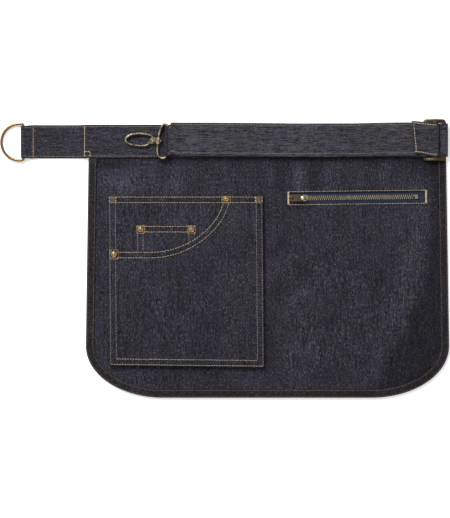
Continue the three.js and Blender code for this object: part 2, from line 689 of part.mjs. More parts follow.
function bailGeometry() {
  const across = (BAIL_W - BAIL_WIRE) / 2;
  const side = across - BAIL_CORNER;
  const far = BAIL_DEPTH;
  const points = [
    ...arcPoints(-BAIL_CORNER, side, BAIL_CORNER, 0, 90, 4),
    ...arcPoints(BAIL_CORNER - far, side, BAIL_CORNER, 90, 180, 4),
    ...arcPoints(BAIL_CORNER - far, -side, BAIL_CORNER, 180, 270, 4),
    ...arcPoints(-BAIL_CORNER, -side, BAIL_CORNER, 270, 360, 4),
  ];
  const loop = wireLoop(points, BAIL_WIRE, 48);
  const barrel = plate(roundedRectangle(BARREL_W, BARREL_T, BARREL_T / 3), -BARREL_L / 2, BARREL_L / 2, 3);
  barrel.rotateX(Math.PI / 2).rotateZ(Math.PI / 2).translate(-far, 0, 0);
  const bore = rod(PIN_D + 2 * PIN_GAP, 3 * BARREL_L).rotateZ(Math.PI / 2).rotateY(bailLean - radians(HOOK_DROP));
  bore.translate(-far, 0, 0);
  return cut(join(loop, barrel), bore).rotateY(-bailLean);
}

// Outline of the hook's fixed wire: from its base along the upper side, round the tip to the nose
const HOOK_LINE = [
  { along: 0.150, across: 0.38 },
  { along: 0.230, across: 0.80 },
  { along: 0.420, across: 1.00 },
  { along: 0.660, across: 0.97 },
  { along: 0.880, across: 0.66 },
  { along: 1.000, across: -0.02 },
  { along: 0.950, across: -0.62 },
  { along: 0.780, across: -0.95 },
];
const GATE_LINE = [
  { along: 0.30, across: 0.78 },
  { along: 0.60, across: 1.00 },
  { along: 1.00, across: 0.94 },
];

function hookLine(rows, length, half) {
  return rows.map((row) => new THREE.Vector3(row.along * length, row.across * half, 0));
}

function wireAlong(points, wide, thick, steps) {
  const section = new THREE.Shape();
  section.absellipse(0, 0, thick / 2, wide / 2, 0, 2 * Math.PI);
  const path = new THREE.CatmullRomCurve3(points);
  return new THREE.ExtrudeGeometry(section, { steps, curveSegments: 4, extrudePath: path, bevelEnabled: false });
}

const PIN_HEAD_RISE = 0.6;        // of the pivot pin, above the gate's eye

function hookBodyGeometry() {
  const shankStart = -BARREL_L / 2 - PIN_GAP - PIN_HEAD_T / 2;
  const shankEnd = BARREL_L / 2 + PIN_GAP + SHANK_DEPTH;
  const shank = rod(PIN_D, shankEnd - shankStart).rotateZ(Math.PI / 2);
  shank.translate((shankStart + shankEnd) / 2, 0, 0);
  const head = rod(PIN_HEAD_D, PIN_HEAD_T).rotateZ(Math.PI / 2);
  head.translate(-BARREL_L / 2 - PIN_GAP - PIN_HEAD_T / 2, 0, 0);
  const baseStart = BARREL_L / 2 + PIN_GAP;
  const baseEnd = GATE_PIVOT + HOOK_BASE_PAST;
  const base = roundedRectangle(baseEnd - baseStart, HOOK_BASE_W, HOOK_BASE_CORNER);
  const block = plate(base, -HOOK_WIRE / 2, 0, 3).translate((baseStart + baseEnd) / 2, HOOK_BASE_ASIDE, 0);
  const line = hookLine(HOOK_LINE, HOOK_L, -HOOK_HALF_W);
  const wire = wireAlong(line, HOOK_WIRE, HOOK_WIRE, 30);
  const pinTop = GATE_PLATE_T + PIN_GAP + PIN_HEAD_RISE;
  const pin = rod(PIVOT_PIN_D, pinTop + PIVOT_PIN_DEPTH, 10).rotateX(Math.PI / 2);
  pin.translate(GATE_PIVOT, GATE_PIVOT_ASIDE, (pinTop - PIVOT_PIN_DEPTH) / 2);
  return join(block, shank, head, wire, pin);
}

function gateGeometry() {
  const root = roundedRectangle(GATE_EYE_L, GATE_EYE_W, GATE_EYE_CORNER);
  const eye = plate(root, PIN_GAP, PIN_GAP + GATE_PLATE_T, 4);
  eye.translate(GATE_PIVOT + GATE_EYE_AHEAD, GATE_PIVOT_ASIDE + GATE_EYE_ASIDE, 0);
  const start = new THREE.Vector3(
    GATE_PIVOT + GATE_ROOT_AHEAD, GATE_PIVOT_ASIDE + GATE_ROOT_ASIDE, PIN_GAP + GATE_PLATE_T / 2,
  );
  const line = hookLine(GATE_LINE, GATE_REACH - GATE_PIVOT, HOOK_HALF_W);
  line.forEach((point) => { point.x += GATE_PIVOT; });
  const arm = wireAlong([start, ...line], GATE_WIRE, GATE_WIRE, 16);
  const hole = rod(PIVOT_PIN_D + 2 * PIN_GAP, CUT_REACH, 10).rotateX(Math.PI / 2);
  hole.translate(GATE_PIVOT, GATE_PIVOT_ASIDE, 0);
  return cut(join(eye, arm), hole);
}

// Patch pocket

const backBottom = panelTop + SEAM_GAP;
const backTop = backBottom + POCKET_RISE + CLOTH;
const coinBottom = backTop + SEAM_GAP;
const coinTop = coinBottom + CLOTH;
const frontBottom = backTop + SEAM_GAP;
const frontTop = coinTop + SEAM_GAP + CLOTH;
const OVERLAP = 0.2;

// Strips of a seam are drawn a little long so that they join into one body
function pocketBackGeometry() {
  const outer = [[0, 0], [0, POCKET_H], [POCKET_W, POCKET_H], [POCKET_W, 0]];
  const patch = plate(pocketShape(outer), backTop - CLOTH, backTop);
  const seam = [
    [POCKET_W - POCKET_SEAM, 0], [POCKET_W - POCKET_SEAM, POCKET_H - POCKET_SEAM],
    [POCKET_SEAM, POCKET_H - POCKET_SEAM], [POCKET_SEAM, 0],
  ];
  const rim = plate(pocketShape([...outer, ...seam]), backBottom, backTop - CLOTH + OVERLAP);
  const hemEdge = POCKET_SEAM - OVERLAP;
  const hemRight = POCKET_W - hemEdge;
  const hemShape = pocketShape([[hemEdge, 0], [hemEdge, HEM_W], [hemRight, HEM_W], [hemRight, 0]]);
  const hem = plate(hemShape, backTop - CLOTH - POCKET_RISE / 2, backTop - CLOTH + OVERLAP);
  return cut(join(patch, rim, hem), ...rivets.map(rivetHole));
}

function coinPocketGeometry() {
  const right = COIN_X + COIN_W;
  const bottom = COIN_DOWN + COIN_H;
  const corners = [[COIN_X, COIN_DOWN], [COIN_X, bottom], [right, bottom], [right, COIN_DOWN]];
  const patch = plate(pocketShape(corners), coinBottom, coinTop);
  return cut(patch, ...rivets.filter((rivet) => rivet.coin).map(rivetHole));
}

// The scooped mouth, from the pocket's top to its left side, inset by a distance into the patch
function mouthLine(inset, steps = 14) {
  const curve = new THREE.CubicBezierCurve(
    new THREE.Vector2(MOUTH_ACROSS + inset, MOUTH_HEAD),
    new THREE.Vector2(MOUTH_ACROSS - MOUTH_LEAN + inset, MOUTH_HEAD + MOUTH_STEEP + inset * MOUTH_EASE),
    new THREE.Vector2(MOUTH_FLAT + MOUTH_SWEEP + inset * MOUTH_EASE, MOUTH_DOWN + inset),
    new THREE.Vector2(MOUTH_FLAT, MOUTH_DOWN + inset),
  );
  const points = curve.getPoints(steps).map((point) => [point.x, point.y]);
  return [[MOUTH_ACROSS + inset, 0], ...points, [0, MOUTH_DOWN + inset]];
}

function pocketFrontGeometry() {
  const mouth = mouthLine(0);
  const patch = plate(pocketShape([...mouth, [0, POCKET_H], [POCKET_W, POCKET_H], [POCKET_W, 0]]),
    frontTop - CLOTH, frontTop);
  const hemInner = mouthLine(HEM_W).reverse();
  const hem = plate(pocketShape([...mouth, ...hemInner]), frontTop - OVERLAP, frontTop + HEM_RAISE);
  const topEdge = MOUTH_ACROSS + HEM_W;
  const seam = [
    [0, MOUTH_DOWN], [0, POCKET_H], [POCKET_W, POCKET_H], [POCKET_W, 0], [MOUTH_ACROSS, 0],
    [MOUTH_ACROSS, HEM_W], [topEdge, HEM_W], [POCKET_W - POCKET_SEAM, HEM_W],
    [POCKET_W - POCKET_SEAM, POCKET_H - POCKET_SEAM], [POCKET_SEAM, POCKET_H - POCKET_SEAM],
    [POCKET_SEAM, MOUTH_DOWN],
  ];
  const rim = plate(pocketShape(seam), frontBottom, frontTop - CLOTH + OVERLAP);
  return cut(join(patch, hem, rim), ...rivets.map(rivetHole));
}

// A rivet: a disc behind the cloth, a shank and a cap with a nub
function rivetGeometry(rivet) {
  const under = rivet.coin ? panelTop : 0;
  const clothTop = rivet.coin ? coinTop : frontTop + HEM_RAISE;
  const layerBottom = rivet.coin ? backTop - CLOTH : panelTop - CLOTH;
  const discTop = layerBottom - SEAM_GAP;
  const capBottom = clothTop + SEAM_GAP;
  const discT = Math.min(RIVET_DISC_T, discTop - under - SEAM_GAP / 2);
  const cap = RIVET_CAP_D / 2;
  const profile = [
    [0, discTop - discT], [RIVET_DISC_D / 2, discTop - discT], [RIVET_DISC_D / 2, discTop],
    [RIVET_SHANK_D / 2, discTop], [RIVET_SHANK_D / 2, capBottom], [cap, capBottom],
    [cap * 0.92, capBottom + RIVET_CAP_T * 0.45], [cap * 0.5, capBottom + RIVET_CAP_T * 0.75],
    [cap * 0.3, capBottom + RIVET_CAP_T], [0, capBottom + RIVET_CAP_T],
  ];
  const place = pocketPoint(rivet.across, rivet.down);
  const turned = new THREE.LatheGeometry(profile.map(([r, z]) => new THREE.Vector2(r, z)), 12);
  return turned.rotateX(Math.PI / 2).translate(place.x, place.y, 0);
}

// Zip, drawn with X along its chain, from the middle of the window

const tapeTop = panelZ - CLOTH / 2 - SEAM_GAP;
const chainBottom = tapeTop + SEAM_GAP;
const chainTop = chainBottom + CHAIN_T;
const zipSliderLeft = -windowHalf + ZIP_SLIDER_INSET - ZIP_SLIDER_L;
const stopRight = windowHalf - STOP_INSET;
const zipSliderTop = chainTop + SEAM_GAP + ZIP_SLIDER_T;
const pivotX = zipSliderLeft + ZIP_WEDGE + PIVOT_PAST_WEDGE;
const pivotZ = zipSliderTop + PULL_T / 2 + SEAM_GAP;

function placeZip(geometry) {
  return geometry.rotateZ(radians(ZIP_TURN)).translate(windowX, windowY, 0);
}

function tapeGeometry(side) {
  const near = side * TAPE_SPLIT / 2;
  const far = side * tapeHalf;
  const strip = rectangle(-tapeReach, Math.min(near, far), tapeReach, Math.max(near, far));
  return placeZip(plate(strip, tapeTop - TAPE_T, tapeTop));
}

// Interlocked teeth as one bar with a tooth and a gap in each pitch, along both sides
function chainGeometry() {
  const left = zipSliderLeft + ZIP_WEDGE + SEAM_GAP;
  const right = stopRight - STOP_L - SEAM_GAP;
  const teeth = Math.floor((right - left) / TOOTH_PITCH);
  const outer = CHAIN_W / 2;
  const root = outer - TOOTH_DEPTH;
  const side = [[left, root]];
  for (let i = 0; i < teeth; i += 1) {
    const start = left + (i + 0.2) * TOOTH_PITCH;
    const end = start + 0.6 * TOOTH_PITCH;
    side.push([start, root], [start, outer], [end, outer], [end, root]);
  }
  side.push([right, root]);
  const mirrored = side.map(([x, y]) => [x, -y]).reverse();
  const shape = new THREE.Shape([...side, ...mirrored].map(([x, y]) => new THREE.Vector2(x, y)));
  return placeZip(plate(shape, chainBottom, chainTop));
}

function stopGeometry() {
  const half = CHAIN_W / 2 - STOP_TRIM;
  return placeZip(plate(rectangle(stopRight - STOP_L, -half, stopRight, half), chainBottom, chainTop + STOP_TRIM));
}

function zipSliderGeometry() {
  const body = plate(roundedRectangle(ZIP_SLIDER_L, ZIP_SLIDER_W, ZIP_SLIDER_CORNER), chainBottom, zipSliderTop, 3);
  body.translate(zipSliderLeft + ZIP_SLIDER_L / 2, 0, 0);
  const half = CHAIN_W / 2 + SEAM_GAP;
  const past = zipSliderLeft + 2 * ZIP_SLIDER_L;
  const tunnel = plate(rectangle(zipSliderLeft + ZIP_WEDGE, -half, past, half),
    chainBottom - CHAIN_T, chainTop + SEAM_GAP);
  const crown = new THREE.Shape();
  const outer = CROWN_D / 2;
  crown.moveTo(outer, -PULL_T);
  crown.absarc(0, 0, outer, 0, Math.PI);
  crown.lineTo(-outer, -PULL_T);
  crown.lineTo(-outer + CROWN_T, -PULL_T);
  crown.absarc(0, 0, outer - CROWN_T, Math.PI, 0, true);
  crown.lineTo(outer - CROWN_T, -PULL_T);
  const bridge = plate(crown, -CROWN_W / 2, CROWN_W / 2, 6).rotateX(Math.PI / 2).translate(pivotX, 0, pivotZ);
  return placeZip(cut(join(body, bridge), tunnel));
}

function pullGeometry() {
  const half = PULL_W / 2;
  const corner = PULL_CORNER;
  const eyeEnd = CROWN_D / 2 + SEAM_GAP;
  const outline = new THREE.Shape();
  outline.moveTo(PULL_T / 2, -half + PULL_ARM / 2);
  outline.lineTo(PULL_T / 2, half - PULL_ARM / 2);
  outline.lineTo(-eyeEnd / 2, half);
  outline.absarc(-PULL_L + corner, half - corner, corner, Math.PI / 2, Math.PI);
  outline.absarc(-PULL_L + corner, -half + corner, corner, Math.PI, 1.5 * Math.PI);
  outline.lineTo(-eyeEnd / 2, -half);
  const slotEnd = -PULL_L + PULL_RIM;
  const slot = rectangle(slotEnd, -PULL_SLOT_W / 2, slotEnd + PULL_SLOT_L, PULL_SLOT_W / 2);
  const eyeHalf = half - PULL_ARM;
  const eye = rectangle(-eyeEnd, -eyeHalf, -PULL_T / 2, eyeHalf);
  outline.holes.push(slot, eye);
  const pull = plate(outline, -PULL_T / 2, PULL_T / 2, 3);
  return placeZip(pull.rotateY(-radians(PULL_TILT)).translate(pivotX, 0, pivotZ));
}

// The flat bag that hangs from the lower tape, behind the panel
function bagGeometry() {
  const reach = tapeReach + BAG_MARGIN;
  const top = -tapeHalf - SEAM_GAP;
  return placeZip(plate(rectangle(-reach, top - BAG_DEPTH, reach, top), 0, CLOTH));
}

// Assembly

const hook = new THREE.Group();
const hookBody = metal('hook_body', hookBodyGeometry(), ANTIQUE_BRASS);
const hookGate = metal('hook_gate', gateGeometry(), GOLD_BRASS);
hook.add(hookBody, hookGate);
hook.rotation.set(0, -radians(HOOK_DROP), Math.PI, 'ZYX');
hook.position.set(-BAIL_DEPTH * Math.cos(bailLean), 0, barrelZ - bailZ);

const hookSet = new THREE.Group();
hookSet.add(metal('hook_bail', bailGeometry(), ANTIQUE_BRASS), hook);
hookSet.rotation.z = radians(BAIL_TURN);
hookSet.position.set(HOOK_PLACE, bailMiddle, bailZ);

const apron = new THREE.Group();
apron.add(
  cloth('apron_panel', panelGeometry()),
  cloth('edge_binding', edgeGeometry()),
  cloth('waist_belt', waistBeltGeometry()),
  cloth('adjust_strap', adjustStrapGeometry()),
  cloth('ring_strap', ringStrapGeometry()),
  metal('d_ring', ringGeometry(), ANTIQUE_BRASS),
  metal('strap_slider', sliderGeometry(), ANTIQUE_BRASS),
  hookSet,
  cloth('pocket_back', pocketBackGeometry()),
  cloth('coin_pocket', coinPocketGeometry()),
  cloth('pocket_front', pocketFrontGeometry()),
  ...rivets.map((rivet) => metal(rivet.name, rivetGeometry(rivet), COPPER)),
  piece('zip_tape_upper', tapeGeometry(1), NAVY_TAPE, 0.9, 0),
  piece('zip_tape_lower', tapeGeometry(-1), NAVY_TAPE, 0.9, 0),
  metal('zip_chain', chainGeometry(), ANTIQUE_BRASS),
  metal('zip_end_stop', stopGeometry(), ANTIQUE_BRASS),
  metal('zip_slider', zipSliderGeometry(), ANTIQUE_BRASS),
  metal('zip_pull', pullGeometry(), ANTIQUE_BRASS),
  cloth('zip_pocket_bag', bagGeometry()),
);

// The origin is under the middle of the whole apron
const size = new THREE.Box3().setFromObject(apron, true);
const centre = size.getCenter(new THREE.Vector3());
apron.position.set(-centre.x, -centre.y, -size.min.z);

export default apron;
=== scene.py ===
"""Denim waist apron: cloth, thread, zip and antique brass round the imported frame."""
import math
import random

import bmesh
import bpy
from bpy.props import FloatProperty, FloatVectorProperty, PointerProperty
from mathutils import Matrix, Vector, noise


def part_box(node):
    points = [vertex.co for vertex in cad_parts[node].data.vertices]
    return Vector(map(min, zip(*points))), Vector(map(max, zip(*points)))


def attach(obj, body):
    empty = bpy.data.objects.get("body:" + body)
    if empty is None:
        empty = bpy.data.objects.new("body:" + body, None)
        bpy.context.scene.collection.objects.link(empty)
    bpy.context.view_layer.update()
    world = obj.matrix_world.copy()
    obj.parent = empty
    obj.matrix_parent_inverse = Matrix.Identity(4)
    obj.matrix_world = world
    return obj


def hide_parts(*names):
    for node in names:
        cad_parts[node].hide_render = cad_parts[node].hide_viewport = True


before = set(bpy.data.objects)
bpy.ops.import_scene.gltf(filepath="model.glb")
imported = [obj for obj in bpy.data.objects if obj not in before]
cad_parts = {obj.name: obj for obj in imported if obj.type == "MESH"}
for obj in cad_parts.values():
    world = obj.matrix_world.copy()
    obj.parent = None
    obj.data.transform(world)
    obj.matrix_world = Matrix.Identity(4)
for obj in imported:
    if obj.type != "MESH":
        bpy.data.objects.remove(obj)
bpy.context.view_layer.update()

bl_info = {
    "name": "Denim waist apron",
    "version": (1, 0, 0),
    "blender": (4, 5, 0),
    "location": "3D View > Sidebar > Apron",
    "description": "Dresses a waist apron in twill denim, gold thread and antique brass",
    "category": "Mesh",
}

MM = 0.001

# Sizes of the solids, in millimetres, from the panel's top left corner and the belt's middle line

# Cloth, panel and straps
CLOTH = 1.0
SEAM_GAP = 0.3
STRAP_T = 1.4
STRAP_GAP = 0.4
PANEL_TOP_W = 428.8
PANEL_DROP = 287.3
PANEL_TUCK = 15.0
FLARE_LEFT = 3.2
FLARE_RIGHT = 3.6
CORNER_ACROSS = 93.0
CORNER_DOWN = 62.0
EDGE_W = 10.0
STRAP_W = 40.0
BELT_OVERHANG = 7.4
BELT_OVERHANG_RIGHT = 1.7
BELT_RISE = 1.6
BELT_SEAM = 42.0
RING_STRAP_L = 70.2
RING_STRAP_TUCK = 6.0
FOLD_BACK = 12.0
END_PIECE_L = 28.0
END_PIECE_RISE = 3.0
END_PIECE_TURN = 5.5
HOOK_PLACE = 94.6

# Ring, slider and hook
RING_WIRE = 3.2
RING_W = 46.8
RING_STRAIGHT = 5.1
RING_CORNER = 3.0
SLIDER_W = 49.8
SLIDER_L = 27.6
SLIDER_RAIL = 4.6
SLIDER_BAR = 4.6
BAR_T = 2.2
BAR_BEVEL = 0.6
BAIL_WIRE = 2.75
BAIL_W = 43.2
BAIL_DEPTH = 11.04
BAIL_TURN = -3.5
HOOK_DROP = 0.7
RING_MIDDLE = -0.9
BAIL_MIDDLE = -0.4
PINCH_GAP = 1.0

# Pocket
POCKET_X = 24.1
POCKET_BELOW_BELT = 45.4
POCKET_W = 185.0
POCKET_H = 203.0
POCKET_LEAN = 1.7
POCKET_FALL = 2.2
POCKET_RISE = 0.9
MOUTH_ACROSS = 135.5
MOUTH_DOWN = 66.0
MOUTH_FLAT = 48.7
MOUTH_HEAD = 10.8
HEM_W = 8.4
COIN_X = 33.1
COIN_DOWN = 35.0
COIN_W = 71.2
COIN_H = 84.0

# Zip
ZIP_FROM_POCKET = 32.4
ZIP_FROM_EDGE = 25.9
ZIP_BELOW_BELT = 47.2
ZIP_TURN = 0.69
WINDOW_W = 12.7

# Levels of the layers: Z is the middle of a thickness, TOP an upper face
PANEL_Z = CLOTH + SEAM_GAP + CLOTH / 2
PANEL_TOP = PANEL_Z + CLOTH / 2
EDGE_TOP = 3 * CLOTH + 2 * SEAM_GAP
BELT_Z = PANEL_TOP + SEAM_GAP + STRAP_T / 2
LOWER_RUN_Z = BELT_Z + STRAP_T + STRAP_GAP
UPPER_RUN_Z = LOWER_RUN_Z + STRAP_T + STRAP_GAP
BAR_TURN = BAR_T / 2 + STRAP_GAP + STRAP_T / 2
OUTER_BAR_Z = BELT_Z + BAR_TURN
MIDDLE_BAR_Z = UPPER_RUN_Z + BAR_TURN
BAIL_BEND = BAIL_WIRE / 2 + STRAP_GAP + STRAP_T / 2
BAIL_Z = LOWER_RUN_Z + BAIL_BEND
RING_BEND = RING_WIRE / 2 + STRAP_GAP + STRAP_T / 2
RING_Z = STRAP_T / 2 + RING_BEND
BACK_TOP = PANEL_TOP + SEAM_GAP + POCKET_RISE + CLOTH
COIN_TOP = BACK_TOP + SEAM_GAP + CLOTH
FRONT_TOP = COIN_TOP + SEAM_GAP + CLOTH

# Places along X and Y
BELT_LEFT = -BELT_OVERHANG
RING_BAR_X = BELT_LEFT - RING_STRAP_L
BELT_RIGHT = PANEL_TOP_W + BELT_OVERHANG_RIGHT
RIGHT_TURN_X = BELT_RIGHT - BAR_TURN - STRAP_T / 2
SLIDER_RIGHT = RIGHT_TURN_X + BAR_BEVEL
SLIDER_MID_X = SLIDER_RIGHT - SLIDER_L / 2
LEFT_BAR_X = SLIDER_RIGHT - SLIDER_L + SLIDER_BAR / 2
RIGHT_BAR_X = SLIDER_RIGHT - SLIDER_BAR / 2
MIDDLE_TURN_X = SLIDER_MID_X + SLIDER_BAR / 2 - BAR_BEVEL
BELT_SEAM_X = SLIDER_MID_X - BELT_SEAM
SLIDER_Y = BELT_RISE - 0.3
BELT_LOWER = -STRAP_W / 2
PANEL_BOTTOM = BELT_LOWER - PANEL_DROP
POCKET_TOP = BELT_LOWER - POCKET_BELOW_BELT
WINDOW_LEFT = POCKET_X + POCKET_W + ZIP_FROM_POCKET
WINDOW_RIGHT = PANEL_TOP_W - ZIP_FROM_EDGE
WINDOW_X = (WINDOW_LEFT + WINDOW_RIGHT) / 2
WINDOW_HALF = (WINDOW_RIGHT - WINDOW_LEFT) / 2
WINDOW_Y = BELT_LOWER - ZIP_BELOW_BELT

# The drawing's zero point in the frame, found from the pocket's own box
_pocket_low, _pocket_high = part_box("pocket_back")
ZERO_X = _pocket_low[0] / MM - POCKET_X
ZERO_Y = _pocket_high[1] / MM - POCKET_TOP


def place(x, y, z):
    """A point of the drawing, in millimetres, as a point of the frame, in metres."""
    return Vector(((x + ZERO_X) * MM, (y + ZERO_Y) * MM, z * MM))


def lerp(a, b, share):
    return a + (b - a) * share


def spaced(start, end, steps):
    """Even steps from start to end, both of them included."""
    return [lerp(start, end, i / steps) for i in range(steps + 1)]


def smooth(value, low, high):
    share = min(max((value - low) / (high - low), 0.0), 1.0)
    return share * share * (3 - 2 * share)


def linear(code):
    """An sRGB hex colour as linear red, green, blue and alpha."""
    parts = [int(code[i:i + 2], 16) / 255 for i in (1, 3, 5)]
    return tuple(p / 12.92 if p <= 0.04045 else ((p + 0.055) / 1.055) ** 2.4 for p in parts) + (1.0,)


# Settings that a user would change

def length_setting(label, words, length):
    """A length that the sidebar shows in the scene's units, from millimetres."""
    return FloatProperty(name=label, description=words, default=length * MM, unit="LENGTH")


def colour_setting(label, words, code):
    return FloatVectorProperty(name=label, description=words, subtype="COLOR", size=4, min=0, max=1,
                               default=linear(code))


class ApronSizes(bpy.types.PropertyGroup):
    stitch: length_setting("Stitch", "Length of thread that shows between two needle holes", 2.7)
    stitch_gap: length_setting("Stitch gap", "Cloth between two stitches", 0.45)
    thread: length_setting("Thread", "Diameter of the topstitching thread", 0.52)
    outer_row: length_setting("Outer row", "From a folded edge to its nearer row of stitches", 1.5)
    inner_row: length_setting("Inner row", "From a folded edge to its farther row of stitches", 8.7)
    belt_row: length_setting("Belt row", "From a strap's edge to its row of stitches", 2.4)
    strap_row: length_setting("Strap row", "From the long strap's lower edge to its row of stitches", 3.7)
    pucker: length_setting("Pucker", "Height of the ripples that the seams draw up", 0.28)
    wave: length_setting("Wave", "Height of the panel's soft waves", 3.4)


class ApronColours(bpy.types.PropertyGroup):
    denim: colour_setting("Denim", "Indigo warp of the panel", "#272631")
    denim_light: colour_setting("Weft", "Pale weft that shows between the warp threads", "#64636d")
    denim_dark: colour_setting("Denim shade", "Darkest warp threads", "#0e0d14")
    belt: colour_setting("Belt", "Denim of the belt and the ring strap", "#2b2a33")
    strap: colour_setting("Strap", "Indigo warp of the long strap", "#3b3941")
    edge: colour_setting("Edge", "Folded edge, cut across the grain", "#1f1b1e")
    thread: colour_setting("Thread", "Gold topstitching", "#c0b292")
    thread_dark: colour_setting("Thread shade", "Thread where it is soiled or lies deep", "#8f7c58")
    orange: colour_setting("Orange thread", "Topstitching of the straps' cross seams", "#b4854a")
    soiled: colour_setting("Soiled thread", "Thread of the tacks and of the hem", "#66503a")
    faded: colour_setting("Faded thread", "Thread along the straps, rubbed with indigo", "#8a7f78")
    brass: colour_setting("Brass", "Antique brass", "#b8a78a")
    brass_dark: colour_setting("Patina", "Dark patina of the brass", "#33281b")
    # The crown's near-white colour is a painted highlight
    nickel: colour_setting("Nickel", "Bright crown of the zip's slider", "#efe6d6")
    bronze: colour_setting("Bronze", "Dark brass of the slider and the zip's tab", "#56452e")
    rubbed: colour_setting("Rubbed bronze", "Brass of the ring, rubbed brighter", "#8a6631")
    copper: colour_setting("Copper", "Rivet caps", "#ad9062")
    tooth: colour_setting("Teeth", "Worn brass of the zip's teeth", "#aca289")
    tape: colour_setting("Tape", "Navy zip tape", "#141d3c")
    floor: colour_setting("Floor", "Paper that the apron lies on", "#f7f7f7")


def size(name):
    """One of the lengths above, in millimetres."""
    return getattr(bpy.context.scene.apron_sizes, name) / MM


# Small helpers for meshes

def loft(rings, closed=False):
    """Draws the first ring as a circle of vertices and extrudes it from ring to ring."""
    bm = bmesh.new()
    count = len(rings[0])
    verts = bmesh.ops.create_circle(bm, segments=count, radius=1.0, cap_ends=False)["verts"]
    for vert, point in zip(verts, rings[0]):
        vert.co = point
    first = [bm.edges.get((verts[i], verts[(i + 1) % count])) for i in range(count)]
    edges = list(first)
    for ring in rings[1:]:
        made = bmesh.ops.extrude_edge_only(bm, edges=edges)["geom"]
        above = follow(verts, made)
        for vert, point in zip(above, ring):
            vert.co = point
        verts = above
        edges = [bm.edges.get((above[i], above[(i + 1) % count])) for i in range(count)]
    if closed:
        bmesh.ops.bridge_loops(bm, edges=first + edges)
    else:
        bmesh.ops.contextual_create(bm, geom=first)
        bmesh.ops.contextual_create(bm, geom=edges)
    return bm


def follow(verts, made):
    """The new vertex that each old one was extruded to."""
    fresh = {item for item in made if isinstance(item, bmesh.types.BMVert)}
    above = []
    for vert in verts:
        above.append(next(e.other_vert(vert) for e in vert.link_edges if e.other_vert(vert) in fresh))
    return above


def add_object(name, data):
    made = bpy.data.objects.new(name, data)
    bpy.context.scene.collection.objects.link(made)
    return made


def finish_piece(bm, name, key, replaces=None, body="root", recalc=True, angle=None):
    """Turns a bmesh into a named piece of one material that rides on its body."""
    if recalc:
        bmesh.ops.recalc_face_normals(bm, faces=bm.faces)
    for face in bm.faces:
        face.smooth = True
    if angle is not None:
        for edge in bm.edges:
            edge.smooth = len(edge.link_faces) != 2 or edge.calc_face_angle(0) < math.radians(angle)
    mesh = bpy.data.meshes.new(name)
    bm.to_mesh(mesh)
    bm.free()
    mesh.materials.append(material(key))
    piece = add_object(name, mesh)
    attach(piece, body)
    if replaces:
        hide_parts(replaces)
    return piece


def give_wall(piece, thickness):
    """Gives a sheet its thickness, in millimetres, downwards from its upper face."""
    wall = piece.modifiers.new("Cloth", "SOLIDIFY")
    wall.thickness, wall.offset = thickness * MM, -1


def bell(value, middle, spread):
    """A soft hump of height 1 at the middle."""
    return math.exp(-((value - middle) / spread) ** 2)


def rounded_edge(distance, radius=0.5):
    """How far a cloth's face has rolled down at a distance from its edge."""
    if distance >= radius:
        return 0.0
    return radius - math.sqrt(max(radius * radius - (radius - distance) ** 2, 0.0))


def ripple(x, y, scale, seed=0.0):
    """Soft noise from -1 to 1 over a length of scale millimetres."""
    return noise.noise(Vector((x / scale, y / scale, seed)))


# Materials

def add_node(tree, kind, settings=None, links=None, output=0):
    """Adds one node, sets its properties and sockets, links its inputs and returns one of its outputs."""
    made = tree.nodes.new("ShaderNode" + kind)
    for key, value in (settings or {}).items():
        if isinstance(key, str) and hasattr(made, key):
            setattr(made, key, value)
        else:
            made.inputs[key].default_value = value
    for key, source in (links or {}).items():
        tree.links.new(source, made.inputs[key])
    return made.outputs[output]


def new_material(name, **shader):
    material = bpy.data.materials.new(name)
    material.use_nodes = True
    tree = material.node_tree
    surface = tree.nodes["Principled BSDF"]
    for key, value in shader.items():
        surface.inputs[key.replace("_", " ")].default_value = value
    return material, tree, surface


def yarns(tree, along, across, length, detail=2.0, turn=0.0):
    """Noise drawn out along the yarns, from sizes in millimetres across and along them."""
    where = add_node(tree, "TexCoord", output="Object")
    fine, drawn = 1 / (across * MM), 1 / (length * MM)
    scale = (fine, drawn, fine) if along == "Y" else (drawn, fine, fine)
    spread = add_node(tree, "Mapping", {"Scale": scale, "Rotation": (0, 0, turn)}, {"Vector": where})
    return add_node(tree, "TexNoise", {"Scale": 1.0, "Detail": detail, "Roughness": 0.6}, {"Vector": spread})


def finish_surface(tree, surface, colour, relief, strength, depth, roughness):
    """Links a material's colour, its relief of so many millimetres, and its roughness."""
    tree.links.new(colour, surface.inputs["Base Color"])
    bump = add_node(tree, "Bump", {"Strength": strength, "Distance": depth * MM}, {"Height": relief})
    tree.links.new(bump, surface.inputs["Normal"])
    tree.links.new(roughness, surface.inputs["Roughness"])


# Sockets: a Map Range goes from 1 and 2 to 3 and 4, and a colour Mix goes from 6 to 7 and comes out at 2
MIX = {"data_type": "RGBA"}
MULTIPLY = {**MIX, "blend_type": "MULTIPLY", 0: 1.0}
MULTIPLY_ADD = {"operation": "MULTIPLY_ADD"}
# A wave texture of this scale draws one band a millimetre
WAVE_BAND = 0.314
TWILL_PITCH = 1.1


